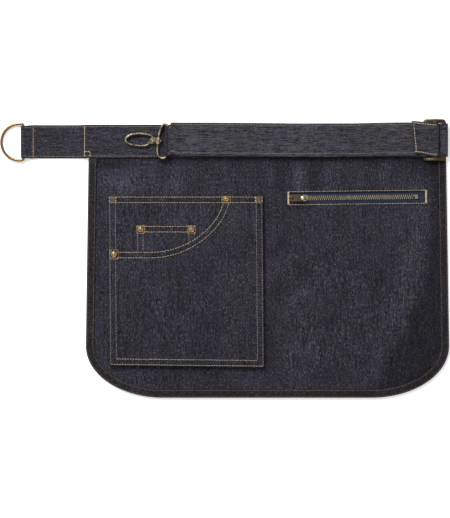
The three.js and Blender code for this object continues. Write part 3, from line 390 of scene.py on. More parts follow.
def denim_material(name, warp, weft, shade, along, fleck=0.45, blotch=0.25):
    """Ring spun 3/1 denim twill, rinsed: matt indigo warp with slubs, and pale weft specks in it."""
    material, tree, surface = new_material(name, Specular_IOR_Level=0.15, Sheen_Weight=0.08,
                                           Sheen_Roughness=0.5)
    # Warp yarns are 0.5 mm apart, too fine to show: slubs and streaks are drawn at 1 to 3 mm
    slub = add_node(tree, "MapRange", {1: 0.36, 2: 0.64}, {0: yarns(tree, along, 1.25, 15, 1.5)})
    streak = add_node(tree, "MapRange", {1: 0.35, 2: 0.65}, {0: yarns(tree, along, 3.2, 90)})
    crossing = yarns(tree, "X" if along == "Y" else "Y", 1.4, 14, 1.0)
    speck = add_node(tree, "MapRange", {1: 0.52, 2: 0.74, 4: fleck}, {0: yarns(tree, along, 1.2, 3.0, 1.0)})
    cloud = add_node(tree, "MapRange", {1: 0.3, 2: 0.7, 3: 1 - blotch, 4: 1 + blotch},
                     {0: yarns(tree, along, 38, 60)})
    olive = add_node(tree, "MapRange", {1: 0.46, 2: 0.62}, {0: yarns(tree, along, 26, 44)})
    tone = add_node(tree, "Math", {**MULTIPLY_ADD, 1: 0.35}, {0: streak, 2: slub})
    tone = add_node(tree, "Math", {**MULTIPLY_ADD, 1: 0.75}, {0: crossing, 2: tone})
    share = add_node(tree, "MapRange", {1: 0.5, 2: 1.4}, {0: tone})
    faded = add_node(tree, "Mix", {**MULTIPLY, 6: warp, 7: (0.98, 0.99, 0.8, 1.0)}, output=2)
    dye = add_node(tree, "Mix", {**MIX, 6: warp}, {0: olive, 7: faded}, 2)
    cloth = add_node(tree, "Mix", {**MIX, 6: shade}, {0: share, 7: dye}, 2)
    # Pocket hems are darker and browner, and the shadow in a strap's fold round the hook's loop is painted
    # the same way, by a share kept in the mesh
    band = add_node(tree, "Attribute", {"attribute_name": "seam_band"}, output="Fac")
    darkened_band = add_node(tree, "Mix", {**MULTIPLY, 7: (0.28, 0.24, 0.22, 1.0)}, {6: cloth}, 2)
    cloth = add_node(tree, "Mix", MIX, {0: band, 6: cloth, 7: darkened_band}, 2)
    cloth = add_node(tree, "Mix", {**MIX, 7: weft}, {0: speck, 6: cloth}, 2)
    # Painted light and shade of the panel's creases, its side fold and the shadow under the belt
    # A crease's share of 0.3 in the mesh makes the cloth half as light again, and one of -0.4 halves it
    crease = add_node(tree, "Attribute", {"attribute_name": "crease_shade"}, output="Fac")
    rubbed = add_node(tree, "Math", {"operation": "POWER", 0: 5.0}, {1: crease})
    light = add_node(tree, "Math", {"operation": "MULTIPLY"}, {0: cloud, 1: rubbed})
    scaled = add_node(tree, "VectorMath", {"operation": "SCALE"}, {0: cloth, "Scale": light})
    # Twill lines: 0.7 mm apart in the cloth, drawn 1.1 mm apart
    where = add_node(tree, "TexCoord", output="Object")
    slope = math.radians(62 if along == "Y" else 28)
    turned = add_node(tree, "Mapping", {"Scale": (1 / MM,) * 3, "Rotation": (0, 0, slope)}, {"Vector": where})
    lines = add_node(tree, "TexWave", {"Scale": WAVE_BAND / TWILL_PITCH, "Distortion": 1.4, "Detail": 1.0},
                     {"Vector": turned}, 1)
    relief = add_node(tree, "Math", {**MULTIPLY_ADD, 1: 0.45}, {0: lines, 2: slub})
    rough = add_node(tree, "MapRange", {3: 0.82, 4: 0.97}, {0: slub})
    finish_surface(tree, surface, scaled, relief, 0.55, 0.22, rough)
    return material


def thread_material(name, light, dark):
    """Waxed polyester core thread: satin, a little darker where it is soiled or lies deep in the cloth."""
    material, tree, surface = new_material(name, Specular_IOR_Level=0.4, Sheen_Weight=0.25)
    worn = add_node(tree, "MapRange", {1: 0.32, 2: 0.62}, {0: yarns(tree, "Y", 3.5, 3.5)})
    colour = add_node(tree, "Mix", {**MIX, 6: dark, 7: light}, {0: worn}, 2)
    twist = yarns(tree, "Y", 0.25, 0.7, 1.0, math.radians(35))
    rough = add_node(tree, "MapRange", {1: 0.3, 2: 0.7, 3: 0.45, 4: 0.65}, {0: twist})
    finish_surface(tree, surface, colour, twist, 0.5, 0.1, rough)
    return material


def brass_material(name, bright, patina, worn_lit_from, worn_lit_to, sheen, matt):
    """Plated brass: rubbed metal and painted highlight on top, matt brown oxide and painted shade on the
    flanks.
    """
    material, tree, surface = new_material(name)
    # Faces that look up get a painted highlight, the flanks painted shade, mixed with noise for wear
    facing = add_node(tree, "TexCoord", output="Normal")
    upward = add_node(tree, "SeparateXYZ", {}, {0: facing}, "Z")
    wear_and_light = add_node(tree, "Math", {**MULTIPLY_ADD, 1: 0.3}, {0: upward, 2: yarns(tree, "Y", 2.2, 4.5, 4.0)})
    rubbed = add_node(tree, "MapRange", {1: worn_lit_from, 2: worn_lit_to}, {0: wear_and_light})
    tree.links.new(add_node(tree, "MapRange", {3: 0.1}, {0: rubbed}), surface.inputs["Metallic"])
    colour = add_node(tree, "Mix", {**MIX, 6: patina, 7: bright}, {0: rubbed}, 2)
    rough = add_node(tree, "MapRange", {3: matt, 4: sheen}, {0: rubbed})
    finish_surface(tree, surface, colour, yarns(tree, "X", 0.5, 0.9, 3.0), 0.25, 0.05, rough)
    return material


def tape_material(name, tape, pale):
    """Woven polyester zip tape: fine ribs along its length, drawn 0.9 mm apart instead of 0.4 mm."""
    material, tree, surface = new_material(name, Specular_IOR_Level=0.3, Sheen_Weight=0.1)
    rib = add_node(tree, "MapRange", {1: 0.35, 2: 0.68}, {0: yarns(tree, "X", 0.9, 16)})
    weave = yarns(tree, "Y", 0.8, 1.6, 1.0)
    ribs = add_node(tree, "Mix", {**MIX, 6: dimmed(tape, 0.45), 7: tape}, {0: rib}, 2)
    shine = add_node(tree, "MapRange", {1: 0.5, 2: 0.8, 4: 0.12}, {0: weave})
    colour = add_node(tree, "Mix", {**MIX, 7: pale}, {0: shine, 6: ribs}, 2)
    rough = add_node(tree, "MapRange", {1: 0.3, 2: 0.7, 3: 0.6, 4: 0.8}, {0: weave})
    finish_surface(tree, surface, colour, rib, 0.4, 0.12, rough)
    return material


def paper_material(name, tone):
    """White sheet on a light table: matt, faintly toothed, lit from below so that shadows stay pale."""
    material, tree, surface = new_material(name, Roughness=0.95, Specular_IOR_Level=0.1, Emission_Color=tone,
                                           Emission_Strength=0.35)
    tooth = yarns(tree, "Y", 40, 40, 3.0)
    colour = add_node(tree, "Mix", {**MIX, 6: dimmed(tone, 0.97), 7: tone}, {0: tooth}, 2)
    tree.links.new(colour, surface.inputs["Base Color"])
    return material


def dimmed(colour, share):
    return tuple(share * part for part in colour[:3]) + (1.0,)


# Maker of each material, the settings that colour it, and its further values
MATERIALS = {
    "denim_twill": (denim_material, "denim denim_light denim_dark", "Y"),
    "denim_twill_crosswise": (denim_material, "strap denim_light denim_dark", "X", 0.42, 0.15),
    "denim_belt": (denim_material, "belt denim_light denim_dark", "X", 0.38, 0.15),
    "denim_hem": (denim_material, "edge denim_light denim_dark", "Y", 0.3, 0.3),
    "polyester_thread": (thread_material, "thread thread_dark"),
    "orange_thread": (thread_material, "orange soiled"),
    "faded_thread": (thread_material, "faded soiled"),
    "hem_thread": (thread_material, "soiled brass_dark"),
    # Brass and bronze below are painted lighter on their tops and darker on their flanks
    "worn_brass": (brass_material, "brass brass_dark", 0.66, 1.0, 0.28, 0.5),
    "patinated_bronze": (brass_material, "bronze brass_dark", 0.5, 0.95, 0.4, 0.55),
    "rubbed_bronze": (brass_material, "rubbed brass_dark", 0.4, 0.8, 0.3, 0.45),
    "bright_nickel": (brass_material, "nickel brass_dark", 0.3, 0.7, 0.2, 0.36),
    "rivet_brass": (brass_material, "copper brass_dark", 0.58, 0.95, 0.32, 0.48),
    "tooth_brass": (brass_material, "tooth brass_dark", 0.55, 0.95, 0.25, 0.4),
    "polyester_tape": (tape_material, "tape denim_light"),
    "pocketing": (tape_material, "denim_dark denim_light"),
    "paper_sweep": (paper_material, "floor"),
}


def material(key):
    """The finished material of that name, made when it is first asked for."""
    maker, dyes, *values = MATERIALS[key]
    tint = bpy.context.scene.apron_colours
    return bpy.data.materials.get(key) or maker(key, *(getattr(tint, dye) for dye in dyes.split()), *values)


# Shapes that several pieces share

def panel_side(y, inset):
    """Left and right end of the panel's line that lies inset inside its outer edge."""
    corner_top = PANEL_BOTTOM + CORNER_DOWN
    down = min(max((BELT_LOWER - y) / (BELT_LOWER - corner_top), 0), 1)
    sink = min(max((corner_top - y) / (CORNER_DOWN - inset), 0), 1)
    corner = (CORNER_ACROSS - inset) * (1 - math.sqrt(1 - sink * sink))
    return inset + corner - FLARE_LEFT * down, PANEL_TOP_W - inset - corner + FLARE_RIGHT * down


def from_outline(x, y):
    """Distance in from the panel's outer edge."""
    left, right = panel_side(y, 0)
    middle = PANEL_BOTTOM + CORNER_DOWN
    across = min(x - left, right - x)
    if y > middle:
        return min(across, y - PANEL_BOTTOM)
    low_left, low_right = panel_side(middle, 0)
    straight = CORNER_ACROSS - min(x - low_left, low_right - x)
    out = math.hypot(max(straight, 0) / CORNER_ACROSS, (middle - y) / CORNER_DOWN)
    return min(across, (1 - out) * CORNER_DOWN)


def outside(x, y, left, bottom, right, top):
    """Distance of a point from a rectangle that it lies outside of."""
    return math.hypot(max(left - x, x - right, 0), max(bottom - y, y - top, 0))


# Soft waves of the free cloth: middle and spread as shares of the panel's width and drop, and their rise;
# they fade out towards the edge, the pocket and the zip
WAVES = (
    (0.10, 0.07, 0.07, 0.06, -0.35), (0.20, 0.08, 0.06, 0.05, 0.45), (0.33, 0.08, 0.05, 0.05, -0.30),
    (0.455, 0.35, 0.035, 0.30, 0.55), (0.62, 0.52, 0.10, 0.20, 0.30), (0.80, 0.70, 0.12, 0.14, 1.00),
    (0.93, 0.40, 0.05, 0.18, 0.50), (0.55, 0.86, 0.12, 0.07, 0.40),
)
EDGE_FADE = 45.0
POCKET_FADE = 30.0
POCKET_MARGIN = 14.0
ZIP_MARGIN = 14.0
ZIP_FADE = 18.0
TAPE_REACH = WINDOW_HALF + 6.0
TAPE_HALF = 11.0


def panel_middle(x, y):
    """Height of the middle of the panel's cloth."""
    drop = (BELT_LOWER - y) / PANEL_DROP
    pocket = outside(x, y, POCKET_X, POCKET_TOP - POCKET_H - POCKET_FALL,
                     POCKET_X + POCKET_W + POCKET_LEAN, POCKET_TOP)
    zip_gap = outside(x, y, WINDOW_X - TAPE_REACH, WINDOW_Y - TAPE_HALF,
                      WINDOW_X + TAPE_REACH, WINDOW_Y + TAPE_HALF)
    free = (smooth(from_outline(x, y), EDGE_W, EDGE_W + EDGE_FADE) * smooth(BELT_LOWER - y, 0, EDGE_FADE)
            * smooth(pocket, POCKET_MARGIN, POCKET_MARGIN + POCKET_FADE)
            * smooth(zip_gap, ZIP_MARGIN, ZIP_MARGIN + ZIP_FADE))
    wave = 0.0
    for across, down, spread_across, spread_down, rise in WAVES:
        wave += rise * bell(x / PANEL_TOP_W, across, spread_across) * bell(drop, down, spread_down)
    # Small creases beside the seams, where thread has drawn the cloth up
    near_edge = bell(from_outline(x, y), 14, 9)
    near_zip = bell(zip_gap, 4, 6) if zip_gap > 0 else 0.0
    near_pocket = bell(pocket, 4, 5) if pocket > 0 else 0.0
    crease = ripple(x, y, 13, 1.7) * near_edge + 0.8 * ripple(x, y, 11, 5.1) * near_zip
    crease += 0.7 * ripple(x, y, 12, 9.3) * near_pocket
    return PANEL_Z + size("wave") * wave * free + size("pucker") * crease


def pocket_point(across, down):
    """A point of the pocket, from distances across and down from its top left corner."""
    x = POCKET_X + across + POCKET_LEAN * (down / POCKET_H)
    return x, POCKET_TOP - down - POCKET_FALL * (across / POCKET_W) * (down / POCKET_H)


def bezier(points, share):
    """A point of the Bezier curve with those handles."""
    while len(points) > 1:
        points = [tuple(lerp(a, b, share) for a, b in zip(p, q)) for p, q in zip(points, points[1:])]
    return points[0]


def mouth_line(inset, steps=40):
    """The scooped mouth from its left end to the pocket's top, inset into the patch."""
    handles = ((MOUTH_FLAT, MOUTH_DOWN + inset),
               (MOUTH_FLAT + 43.2 + inset * 0.4, MOUTH_DOWN + inset),
               (MOUTH_ACROSS - 9.4 + inset, MOUTH_HEAD + 28.8 + inset * 0.4),
               (MOUTH_ACROSS + inset, MOUTH_HEAD))
    curve = [bezier(handles, i / steps) for i in range(steps + 1)]
    return [(0.0, MOUTH_DOWN + inset)] + curve + [(MOUTH_ACROSS + inset, 0.0)]


def along_line(points, pitch):
    """Evenly spaced points along a line of points, with the line's direction at each."""
    lengths = [(Vector(b) - Vector(a)).length for a, b in zip(points, points[1:])]
    total = sum(lengths)
    count = max(round(total / pitch), 1)
    placed, start, walked = [], 0, 0.0
    for i in range(count):
        target = (i + 0.5) / count * total
        while start < len(lengths) - 1 and walked + lengths[start] < target:
            walked += lengths[start]
            start += 1
        a, b = Vector(points[start]), Vector(points[start + 1])
        placed.append((a.lerp(b, (target - walked) / max(lengths[start], 1e-9)), (b - a).normalized()))
    return placed


def resample(points, count):
    """The line's points, evenly spaced along its length from end to end."""
    lengths = [0.0]
    for a, b in zip(points, points[1:]):
        lengths.append(lengths[-1] + (Vector(b) - Vector(a)).length)
    out, start = [], 0
    for i in range(count + 1):
        target = lengths[-1] * i / count
        while start < len(points) - 2 and lengths[start + 1] < target:
            start += 1
        share = (target - lengths[start]) / max(lengths[start + 1] - lengths[start], 1e-9)
        out.append(tuple(Vector(points[start]).lerp(Vector(points[start + 1]), share)))
    return out


def from_line(point, line):
    """Distance of a point from a line of points, both flat."""
    best = 1e9
    px, py = point
    for (ax, ay), (bx, by) in zip(line, line[1:]):
        dx, dy = bx - ax, by - ay
        share = min(max(((px - ax) * dx + (py - ay) * dy) / max(dx * dx + dy * dy, 1e-12), 0.0), 1.0)
        best = min(best, (px - ax - share * dx) ** 2 + (py - ay - share * dy) ** 2)
    return math.sqrt(best)


def hem_relief(distance, seed_x, seed_y, rise=0.0):
    """Relief of a folded edge: raised up to its inner row, drawn in at both rows, puckered between."""
    outer, inner = size("outer_row"), size("inner_row")
    body = rise * (1 - smooth(distance, inner, inner + 1.6))
    dips = bell(distance, outer, 0.7) + bell(distance, inner, 0.8)
    pucker = ripple(seed_x + 0.6 * distance, seed_y, 6.5, 3.3)
    pucker += 0.6 * ripple(seed_x, seed_y - 0.4 * distance, 3.4, 8.1)
    middle = bell(distance, (outer + inner) / 2, 3.4)
    return body - 0.22 * dips + 1.3 * size("pucker") * pucker * middle


class StrapPath:
    """A strap's course in X and Z, with its width, middle line and skew at each station."""

    def __init__(self, x, z, width, middle, skew=0.0):
        self.stations = [dict(x=x, z=z, width=width, middle=middle, skew=skew)]
        self.marks = {}

    def add(self, x, z, start, target, share):
        eased = smooth(share, 0, 1)
        mixed = {key: lerp(start[key], target[key], eased) for key in ("width", "middle", "skew")}
        self.stations.append(dict(x=x, z=z, **mixed))

    def to(self, x, z, mark=None, step=2.6, **look):
        """A straight or gently rising stretch."""
        start = dict(self.stations[-1])
        target = {**start, **look}
        steps = max(math.ceil(abs(x - start["x"]) / step), 2)
        for i in range(1, steps + 1):
            share = i / steps
            height = lerp(start["z"], z, smooth(share, 0, 1))
            self.add(lerp(start["x"], x, share), height, start, target, share)
        if mark:
            self.marks[mark] = len(self.stations) - 1
        return self

    def turn(self, z, side, steps=14, **look):
        """A half turn round a bar, bulging to the right (1) or left (-1)."""
        start = dict(self.stations[-1])
        target = {**start, **look}
        radius = (z - start["z"]) / 2
        for i in range(1, steps + 1):
            angle = math.pi * i / steps
            x = start["x"] + side * abs(radius) * math.sin(angle)
            self.add(x, start["z"] + radius * (1 - math.cos(angle)), start, target, i / steps)
        return self

    def frame(self, i):
        """The strap's direction and the mitre's stretch at a station."""
        here, last = self.stations[i], len(self.stations) - 1
        before, after = self.stations[max(i - 1, 0)], self.stations[min(i + 1, last)]
        into = Vector((here["x"] - before["x"], here["z"] - before["z"]))
        out = Vector((after["x"] - here["x"], after["z"] - here["z"]))
        into, out = (out if i == 0 else into).normalized(), (into if i == last else out).normalized()
        along = (into + out).normalized()
        return along, 1 / max(along.dot(into), 0.4)

    def point(self, i, across, height):
        """The place at a distance across from the middle line and a height from the middle of the cloth."""
        here = self.stations[i]
        along, stretch = self.frame(i)
        slide = across * math.tan(math.radians(here["skew"]))
        x = here["x"] + slide - height * stretch * along.y
        return x, here["middle"] + across, here["z"] + height * stretch * along.x

    def ring(self, i):
        """The strap's section: two faces with a dip at each row of stitches, and rolled edges."""
        half, thick, roll_in = self.stations[i]["width"] / 2, STRAP_T / 2, STRAP_T * 0.4
        row = size("belt_row")
        shares = (0.0, 0.35, 0.75, 1.0, 1.3, 1.8, 2.8, 4.2)
        flat = [half - roll_in - (row - roll_in) * s for s in shares if s < 1.0]
        flat += [half - row * s for s in shares if s >= 1.0]
        face = flat + [half * 0.4, 0.0]
        face += [-a for a in reversed(face[:-1])]
        out = []
        for side in (1, -1):
            for across in face:
                a = side * across
                x, y, _ = self.point(i, a, side * thick)
                dip = 0.2 * bell(abs(a), half - row, 0.75)
                swell = 0.1 * ripple(x + 0.5 * y, y, 7, 2.2 * side) * bell(abs(a), half - 4, 5)
                out.append(self.point(i, a, side * (thick - dip + swell)))
            edge = -side * half
            for angle in (40, 90, 140):
                roll = math.radians(angle)
                reach = roll_in * math.sin(roll)
                out.append(self.point(i, edge + side * (roll_in - reach), side * thick * math.cos(roll)))
        return [place(*point) for point in out]

    def build(self):
        return loft([self.ring(i) for i in range(len(self.stations))])

    def row(self, inset, side, face, first=0, last=None):
        """Points of a row of stitches on one face, from one station to another."""
        last = len(self.stations) - 1 if last is None else last
        thick = STRAP_T / 2 - 0.1
        picked = range(first, last + 1)
        return [self.point(i, side * (self.stations[i]["width"] / 2 - inset), face * thick) for i in picked]


SLIDER_STRAP_W = min(STRAP_W, SLIDER_W - 2 * SLIDER_RAIL - 0.4)
BAIL_STRAP_W = min(STRAP_W, BAIL_W - 2 * BAIL_WIRE - 2 * PINCH_GAP)
RING_STRAP_W = min(STRAP_W, RING_W - 2 * RING_WIRE - 2 * PINCH_GAP)


def waist_belt_path():
    """Along the panel's top to the seam under the slider."""
    path = StrapPath(BELT_LEFT, BELT_Z, STRAP_W, 0)
    path.to(lerp(BELT_LEFT, BELT_RIGHT, 0.2), BELT_Z, middle=0)
    return path.to(BELT_SEAM_X, BELT_Z, middle=BELT_RISE)


def adjust_strap_path():
    """Round the slider's right bar, back to the hook's loop, and again to the slider's middle bar."""
    at_slider = dict(width=SLIDER_STRAP_W, middle=SLIDER_Y, skew=0)
    at_bail = dict(width=BAIL_STRAP_W, middle=BAIL_MIDDLE, skew=-BAIL_TURN)
    over_bar = OUTER_BAR_Z + BAR_TURN
    over_both = over_bar + STRAP_T + STRAP_GAP
    path = StrapPath(BELT_SEAM_X + SEAM_GAP, BELT_Z, STRAP_W, BELT_RISE)
    path.to(LEFT_BAR_X, BELT_Z, **at_slider)
    path.to(RIGHT_TURN_X, BELT_Z).turn(over_bar, 1)
    path.to(RIGHT_BAR_X - SLIDER_BAR * 0.3, over_bar)
    path.to(SLIDER_MID_X + SLIDER_BAR * 0.6, LOWER_RUN_Z, step=1.0)
    path.to(SLIDER_MID_X - SLIDER_BAR * 0.4, LOWER_RUN_Z)
    path.to(LEFT_BAR_X + SLIDER_BAR * 0.4, over_bar, step=1.0)
    path.to(LEFT_BAR_X - SLIDER_BAR * 0.4, over_bar)
    path.to(LEFT_BAR_X - SLIDER_BAR * 3, LOWER_RUN_Z, step=1.2, width=STRAP_W, middle=BELT_RISE)
    path.to(HOOK_PLACE + 30, LOWER_RUN_Z, middle=1.2)
    path.to(HOOK_PLACE, LOWER_RUN_Z, mark="bail", **at_bail)
    path.turn(BAIL_Z + BAIL_BEND, -1)
    path.to(HOOK_PLACE + 0.8, BAIL_Z + BAIL_BEND, step=0.4)
    path.to(HOOK_PLACE + 5.5, UPPER_RUN_Z + 1.6, step=0.6, width=STRAP_W - 1.6, middle=3.0, skew=0)
    path.to(HOOK_PLACE + 16, UPPER_RUN_Z, step=1.2, width=STRAP_W, middle=2.2)
    for share, middle in ((0.90, 2.2), (0.35, 1.1), (0.08, 2.4)):
        path.to(lerp(LEFT_BAR_X, HOOK_PLACE, share), UPPER_RUN_Z, middle=middle)
    path.to(LEFT_BAR_X - SLIDER_BAR * 2.4, UPPER_RUN_Z, mark="front_end", width=STRAP_W)
    path.to(LEFT_BAR_X - SLIDER_BAR * 0.4, over_both, step=1.0, **at_slider)
    path.to(LEFT_BAR_X + SLIDER_BAR * 0.4, over_both)
    path.to(SLIDER_MID_X - SLIDER_BAR * 0.4, UPPER_RUN_Z, step=1.0)
    path.to(MIDDLE_TURN_X, UPPER_RUN_Z).turn(MIDDLE_BAR_Z + BAR_TURN, 1)
    path.marks["end_piece"] = len(path.stations) - 1
    return path.to(MIDDLE_TURN_X - END_PIECE_L, MIDDLE_BAR_Z + BAR_TURN, width=SLIDER_STRAP_W - 1,
                   middle=SLIDER_Y + END_PIECE_RISE, skew=-END_PIECE_TURN)


def ring_strap_path():
    """From its hidden end round the ring's bar and back, to its end under the belt."""
    over_fold = STRAP_T * 1.5 + STRAP_GAP
    low = STRAP_T / 2
    path = StrapPath(RING_BAR_X + FOLD_BACK, low, STRAP_W, -0.5)
    path.to(RING_BAR_X, low, width=RING_STRAP_W, middle=RING_MIDDLE)
    path.turn(RING_Z + RING_BEND, -1)
    path.marks["over_ring"] = len(path.stations)
    path.to(RING_BAR_X + FOLD_BACK * 0.8, over_fold, step=1.0, width=STRAP_W, middle=-0.5)
    path.to(RING_BAR_X + FOLD_BACK, over_fold, middle=-0.3)
    path.to(RING_BAR_X + FOLD_BACK * 1.7, low, step=1.2)
    path.to(BELT_LEFT - 14, low, mark="flat_end")
    path.to(BELT_LEFT - 2, BELT_Z - STRAP_T - STRAP_GAP)
    return path.to(BELT_LEFT + RING_STRAP_TUCK, BELT_Z - STRAP_T - STRAP_GAP)


# Thread

# How far the middle of the thread lies over the cloth that it is sewn into
THREAD_LIFT = 0.12
# From one stitch of a bar tack to the next
TACK_PITCH = 0.62


def add_stitches(bm, points, length=None, gap=None, thick=None, jitter=0.0, seed=1):
    """Adds a row of single stitches along a line of points, each a flattened grain of thread."""
    length = length or size("stitch")
    gap = gap or size("stitch_gap")
    thick = thick or size("thread")
    rng = random.Random(seed)
    for spot, along in along_line(points, length + gap):
        side = Vector((-along.y, along.x, 0)).normalized()
        up = along.cross(side)
        up = up if up.z > 0 else -up
        spot = spot + side * rng.uniform(-jitter, jitter)
        turned = Matrix((along, side, up)).transposed().to_4x4()
        scale = Matrix.Diagonal((length / 2 * MM, thick * 0.62 * MM, thick * 0.5 * MM, 1))
        matrix = Matrix.Translation(place(*spot)) @ turned @ scale @ turn(90, "Y")
        bmesh.ops.create_uvsphere(bm, u_segments=6, v_segments=5, radius=1.0, matrix=matrix)


def sew(name, rows, key="polyester_thread", slot="denim", **look):
    """Joins rows of stitches into one piece of thread."""
    parts = []
    for number, points in enumerate(rows):
        parts.append(bmesh.new())
        add_stitches(parts[-1], points, seed=number + len(name), **look)
    finish_piece(merge(parts), name, key, recalc=False)


def bar_tack(bm, x, y, z, length, width, angle):
    """A dense zigzag block of thread: short stitches side by side across a narrow bar."""
    run = Vector((math.cos(math.radians(angle)), math.sin(math.radians(angle)), 0))
    side = Vector((-run.y, run.x, 0))
    count = max(round(length / TACK_PITCH), 3)
    for i in range(count):
        middle = Vector((x, y, z)) + run * lerp(-length / 2, length / 2, (i + 0.5) / count)
        lean = run * 0.3 * (-1) ** i
        ends = [tuple(middle - side * width / 2 - lean), tuple(middle + side * width / 2 + lean)]
        add_stitches(bm, ends, length=width * 1.02, gap=0.001, thick=0.66)


# Wire and plates

def steps_round(count):
    return [2 * math.pi * i / count for i in range(count)]


def tube(path, radius, sides=16, closed=False):
    """Wire along a line of points: radius is a number or a function of the share of the way along."""
    points = [Vector(p) for p in path]
    last = len(points) - 1
    rings = []
    for i, point in enumerate(points):
        before = points[i - 1] if closed or i else points[0]
        after = points[(i + 1) % len(points)] if closed or i < last else points[last]
        along = (after - before).normalized()
        side = along.cross(Vector((0, 0, 1))).normalized()
        up = side.cross(along)
        reach = radius(i / last) if callable(radius) else radius
        rings.append([(point + side * reach * math.cos(a) + up * reach * math.sin(a)) * MM
                      for a in steps_round(sides)])
    return loft(rings, closed)


def spun(profile, steps=24):
    """A turned piece round Z, from radius and height in millimetres."""
    bm = bmesh.new()
    verts = [bm.verts.new((r * MM, 0, z * MM)) for r, z in profile]
    edges = [bm.edges.new(pair) for pair in zip(verts, verts[1:])]
    bmesh.ops.spin(bm, geom=verts + edges, cent=(0, 0, 0), axis=(0, 0, 1), dvec=(0, 0, 0), angle=2 * math.pi,
                   steps=steps, use_merge=True)
    bmesh.ops.remove_doubles(bm, verts=bm.verts, dist=1e-7)
    bmesh.ops.recalc_face_normals(bm, faces=bm.faces)
    return bm


def round_edges(bm, edges, bevel, segments):
    bmesh.ops.bevel(bm, geom=edges, offset=bevel * MM, offset_type="OFFSET", affect="EDGES",
                    segments=segments, profile=0.5, material=-1, clamp_overlap=True)
    return bm


def plate(outlines, bottom, top, bevel, segments):
    """A flat plate with holes: its first outline is the outer one, in millimetres."""
    bm = bmesh.new()
    for outline in outlines:
        verts = [bm.verts.new((x * MM, y * MM, bottom * MM)) for x, y in outline]
        for a, b in zip(verts, verts[1:] + verts[:1]):
            bm.edges.new((a, b))
    if len(outlines) == 1:
        bmesh.ops.contextual_create(bm, geom=list(bm.edges))
    else:
        bmesh.ops.triangle_fill(bm, use_beauty=True, edges=list(bm.edges))
    made = bmesh.ops.extrude_face_region(bm, geom=list(bm.faces), use_keep_orig=True)["geom"]
    raised = [item for item in made if isinstance(item, bmesh.types.BMVert)]
    bmesh.ops.translate(bm, verts=raised, vec=(0, 0, (top - bottom) * MM))
    bmesh.ops.recalc_face_normals(bm, faces=bm.faces)
    rims = [e for e in bm.edges if len(e.link_faces) == 2 and e.calc_face_angle(0) > math.radians(60)
            and abs(e.verts[0].co.z - e.verts[1].co.z) < 1e-7]
    return round_edges(bm, rims, bevel, segments)


def block(lengths, bevel, segments, centre):
    """A box with rounded edges, in millimetres."""
    bm = bmesh.new()
    matrix = Matrix.Translation(Vector(centre) * MM) @ Matrix.Diagonal([part * MM for part in lengths] + [1])
    bmesh.ops.create_cube(bm, size=1.0, matrix=matrix)
    return round_edges(bm, list(bm.edges), bevel, segments)


def rounded(width, height, corner, steps=6, x=0.0, y=0.0):
    """Outline of a rectangle with round corners."""
    out = []
    for sx, sy, start in ((1, 1, 0), (-1, 1, 90), (-1, -1, 180), (1, -1, 270)):
        for i in range(steps + 1):
            angle = math.radians(start + 90 * i / steps)
            out.append((x + sx * (width / 2 - corner) + corner * math.cos(angle),
                        y + sy * (height / 2 - corner) + corner * math.sin(angle)))
    return out


def merge(parts):
    """Joins several bmeshes into one."""
    whole = bmesh.new()
    for bm in parts:
        part = bpy.data.meshes.new("part")
        bm.to_mesh(part)
        bm.free()
        whole.from_mesh(part)
        bpy.data.meshes.remove(part)
    return whole


def moved(bm, matrix):
    bmesh.ops.transform(bm, matrix=matrix, verts=bm.verts)
    return bm


def shift(x, y, z):
    return Matrix.Translation(Vector((x, y, z)) * MM)


def turn(degrees, axis):
    return Matrix.Rotation(math.radians(degrees), 4, axis)


def to_frame():
    """From the drawing's zero point to the frame's."""
    return shift(ZERO_X, ZERO_Y, 0)


# Cloth pieces

def panel_top(x, y):
    """Height of the panel's upper face."""
    return panel_middle(x, y) + CLOTH / 2


# Painted light and shade of the panel's ridges and hollows, and painted shadow under the belt:
# place, reach, lean in degrees and shade
CREASES = (
    (14, -27, 26, 6, 0, -0.6), (404, -29, 32, 14, 0, -0.45), (40, -49, 18, 16, 10, 0.3),
    (107, -46, 16, 15, 20, 0.28), (89, -37, 7, 18, 0, -0.2), (218, -40, 8, 20, 0, 0.2),
    (231, -41, 7, 20, 0, -0.4), (254, -39, 8, 16, 10, 0.28), (269, -40, 6, 16, 10, -0.2),
    (290, -37, 9, 14, 0, 0.25), (353, -37, 8, 16, 20, 0.28), (248, -79, 18, 6, 0, -0.25),
    (231, -122, 7, 22, 35, -0.35), (242, -108, 6, 20, 35, 0.22), (260, -160, 10, 11, 0, -0.25),
    (226, -180, 6, 14, 0, -0.25), (250, -190, 8, 30, 35, 0.2), (218, -238, 6, 50, 0, -0.25),
    (244, -256, 12, 24, 10, 0.18), (20, -40, 9, 25, 0, 0.18), (215, -16, 260, 12, 0, -0.35),
)
# The soft fold down the panel's right side, painted as a lighter ridge with shade beyond it, as heights and
# places
SIDE_FOLD = ((-350, 300), (-292, 338), (-226, 376), (-148, 404), (-28, 409), (40, 409))


def crease_shade(x, y):
    """How much lighter or darker the panel is painted, as light and shade of its creases and its side fold.
    """
    shade = 0.0
    for across, up, wide, tall, lean, strength in CREASES:
        turned = Vector((x - across, y - up)) @ Matrix.Rotation(math.radians(-lean), 2)
        shade += strength * bell(turned.x, 0, wide) * bell(turned.y, 0, tall)
    for (low, start), (high, end) in zip(SIDE_FOLD, SIDE_FOLD[1:]):
        if low <= y < high:
            beyond = x - lerp(start, end, (y - low) / (high - low))
            shade += 0.2 * bell(beyond, -12, 16) - 0.42 * smooth(beyond, -6, 16)
    return shade


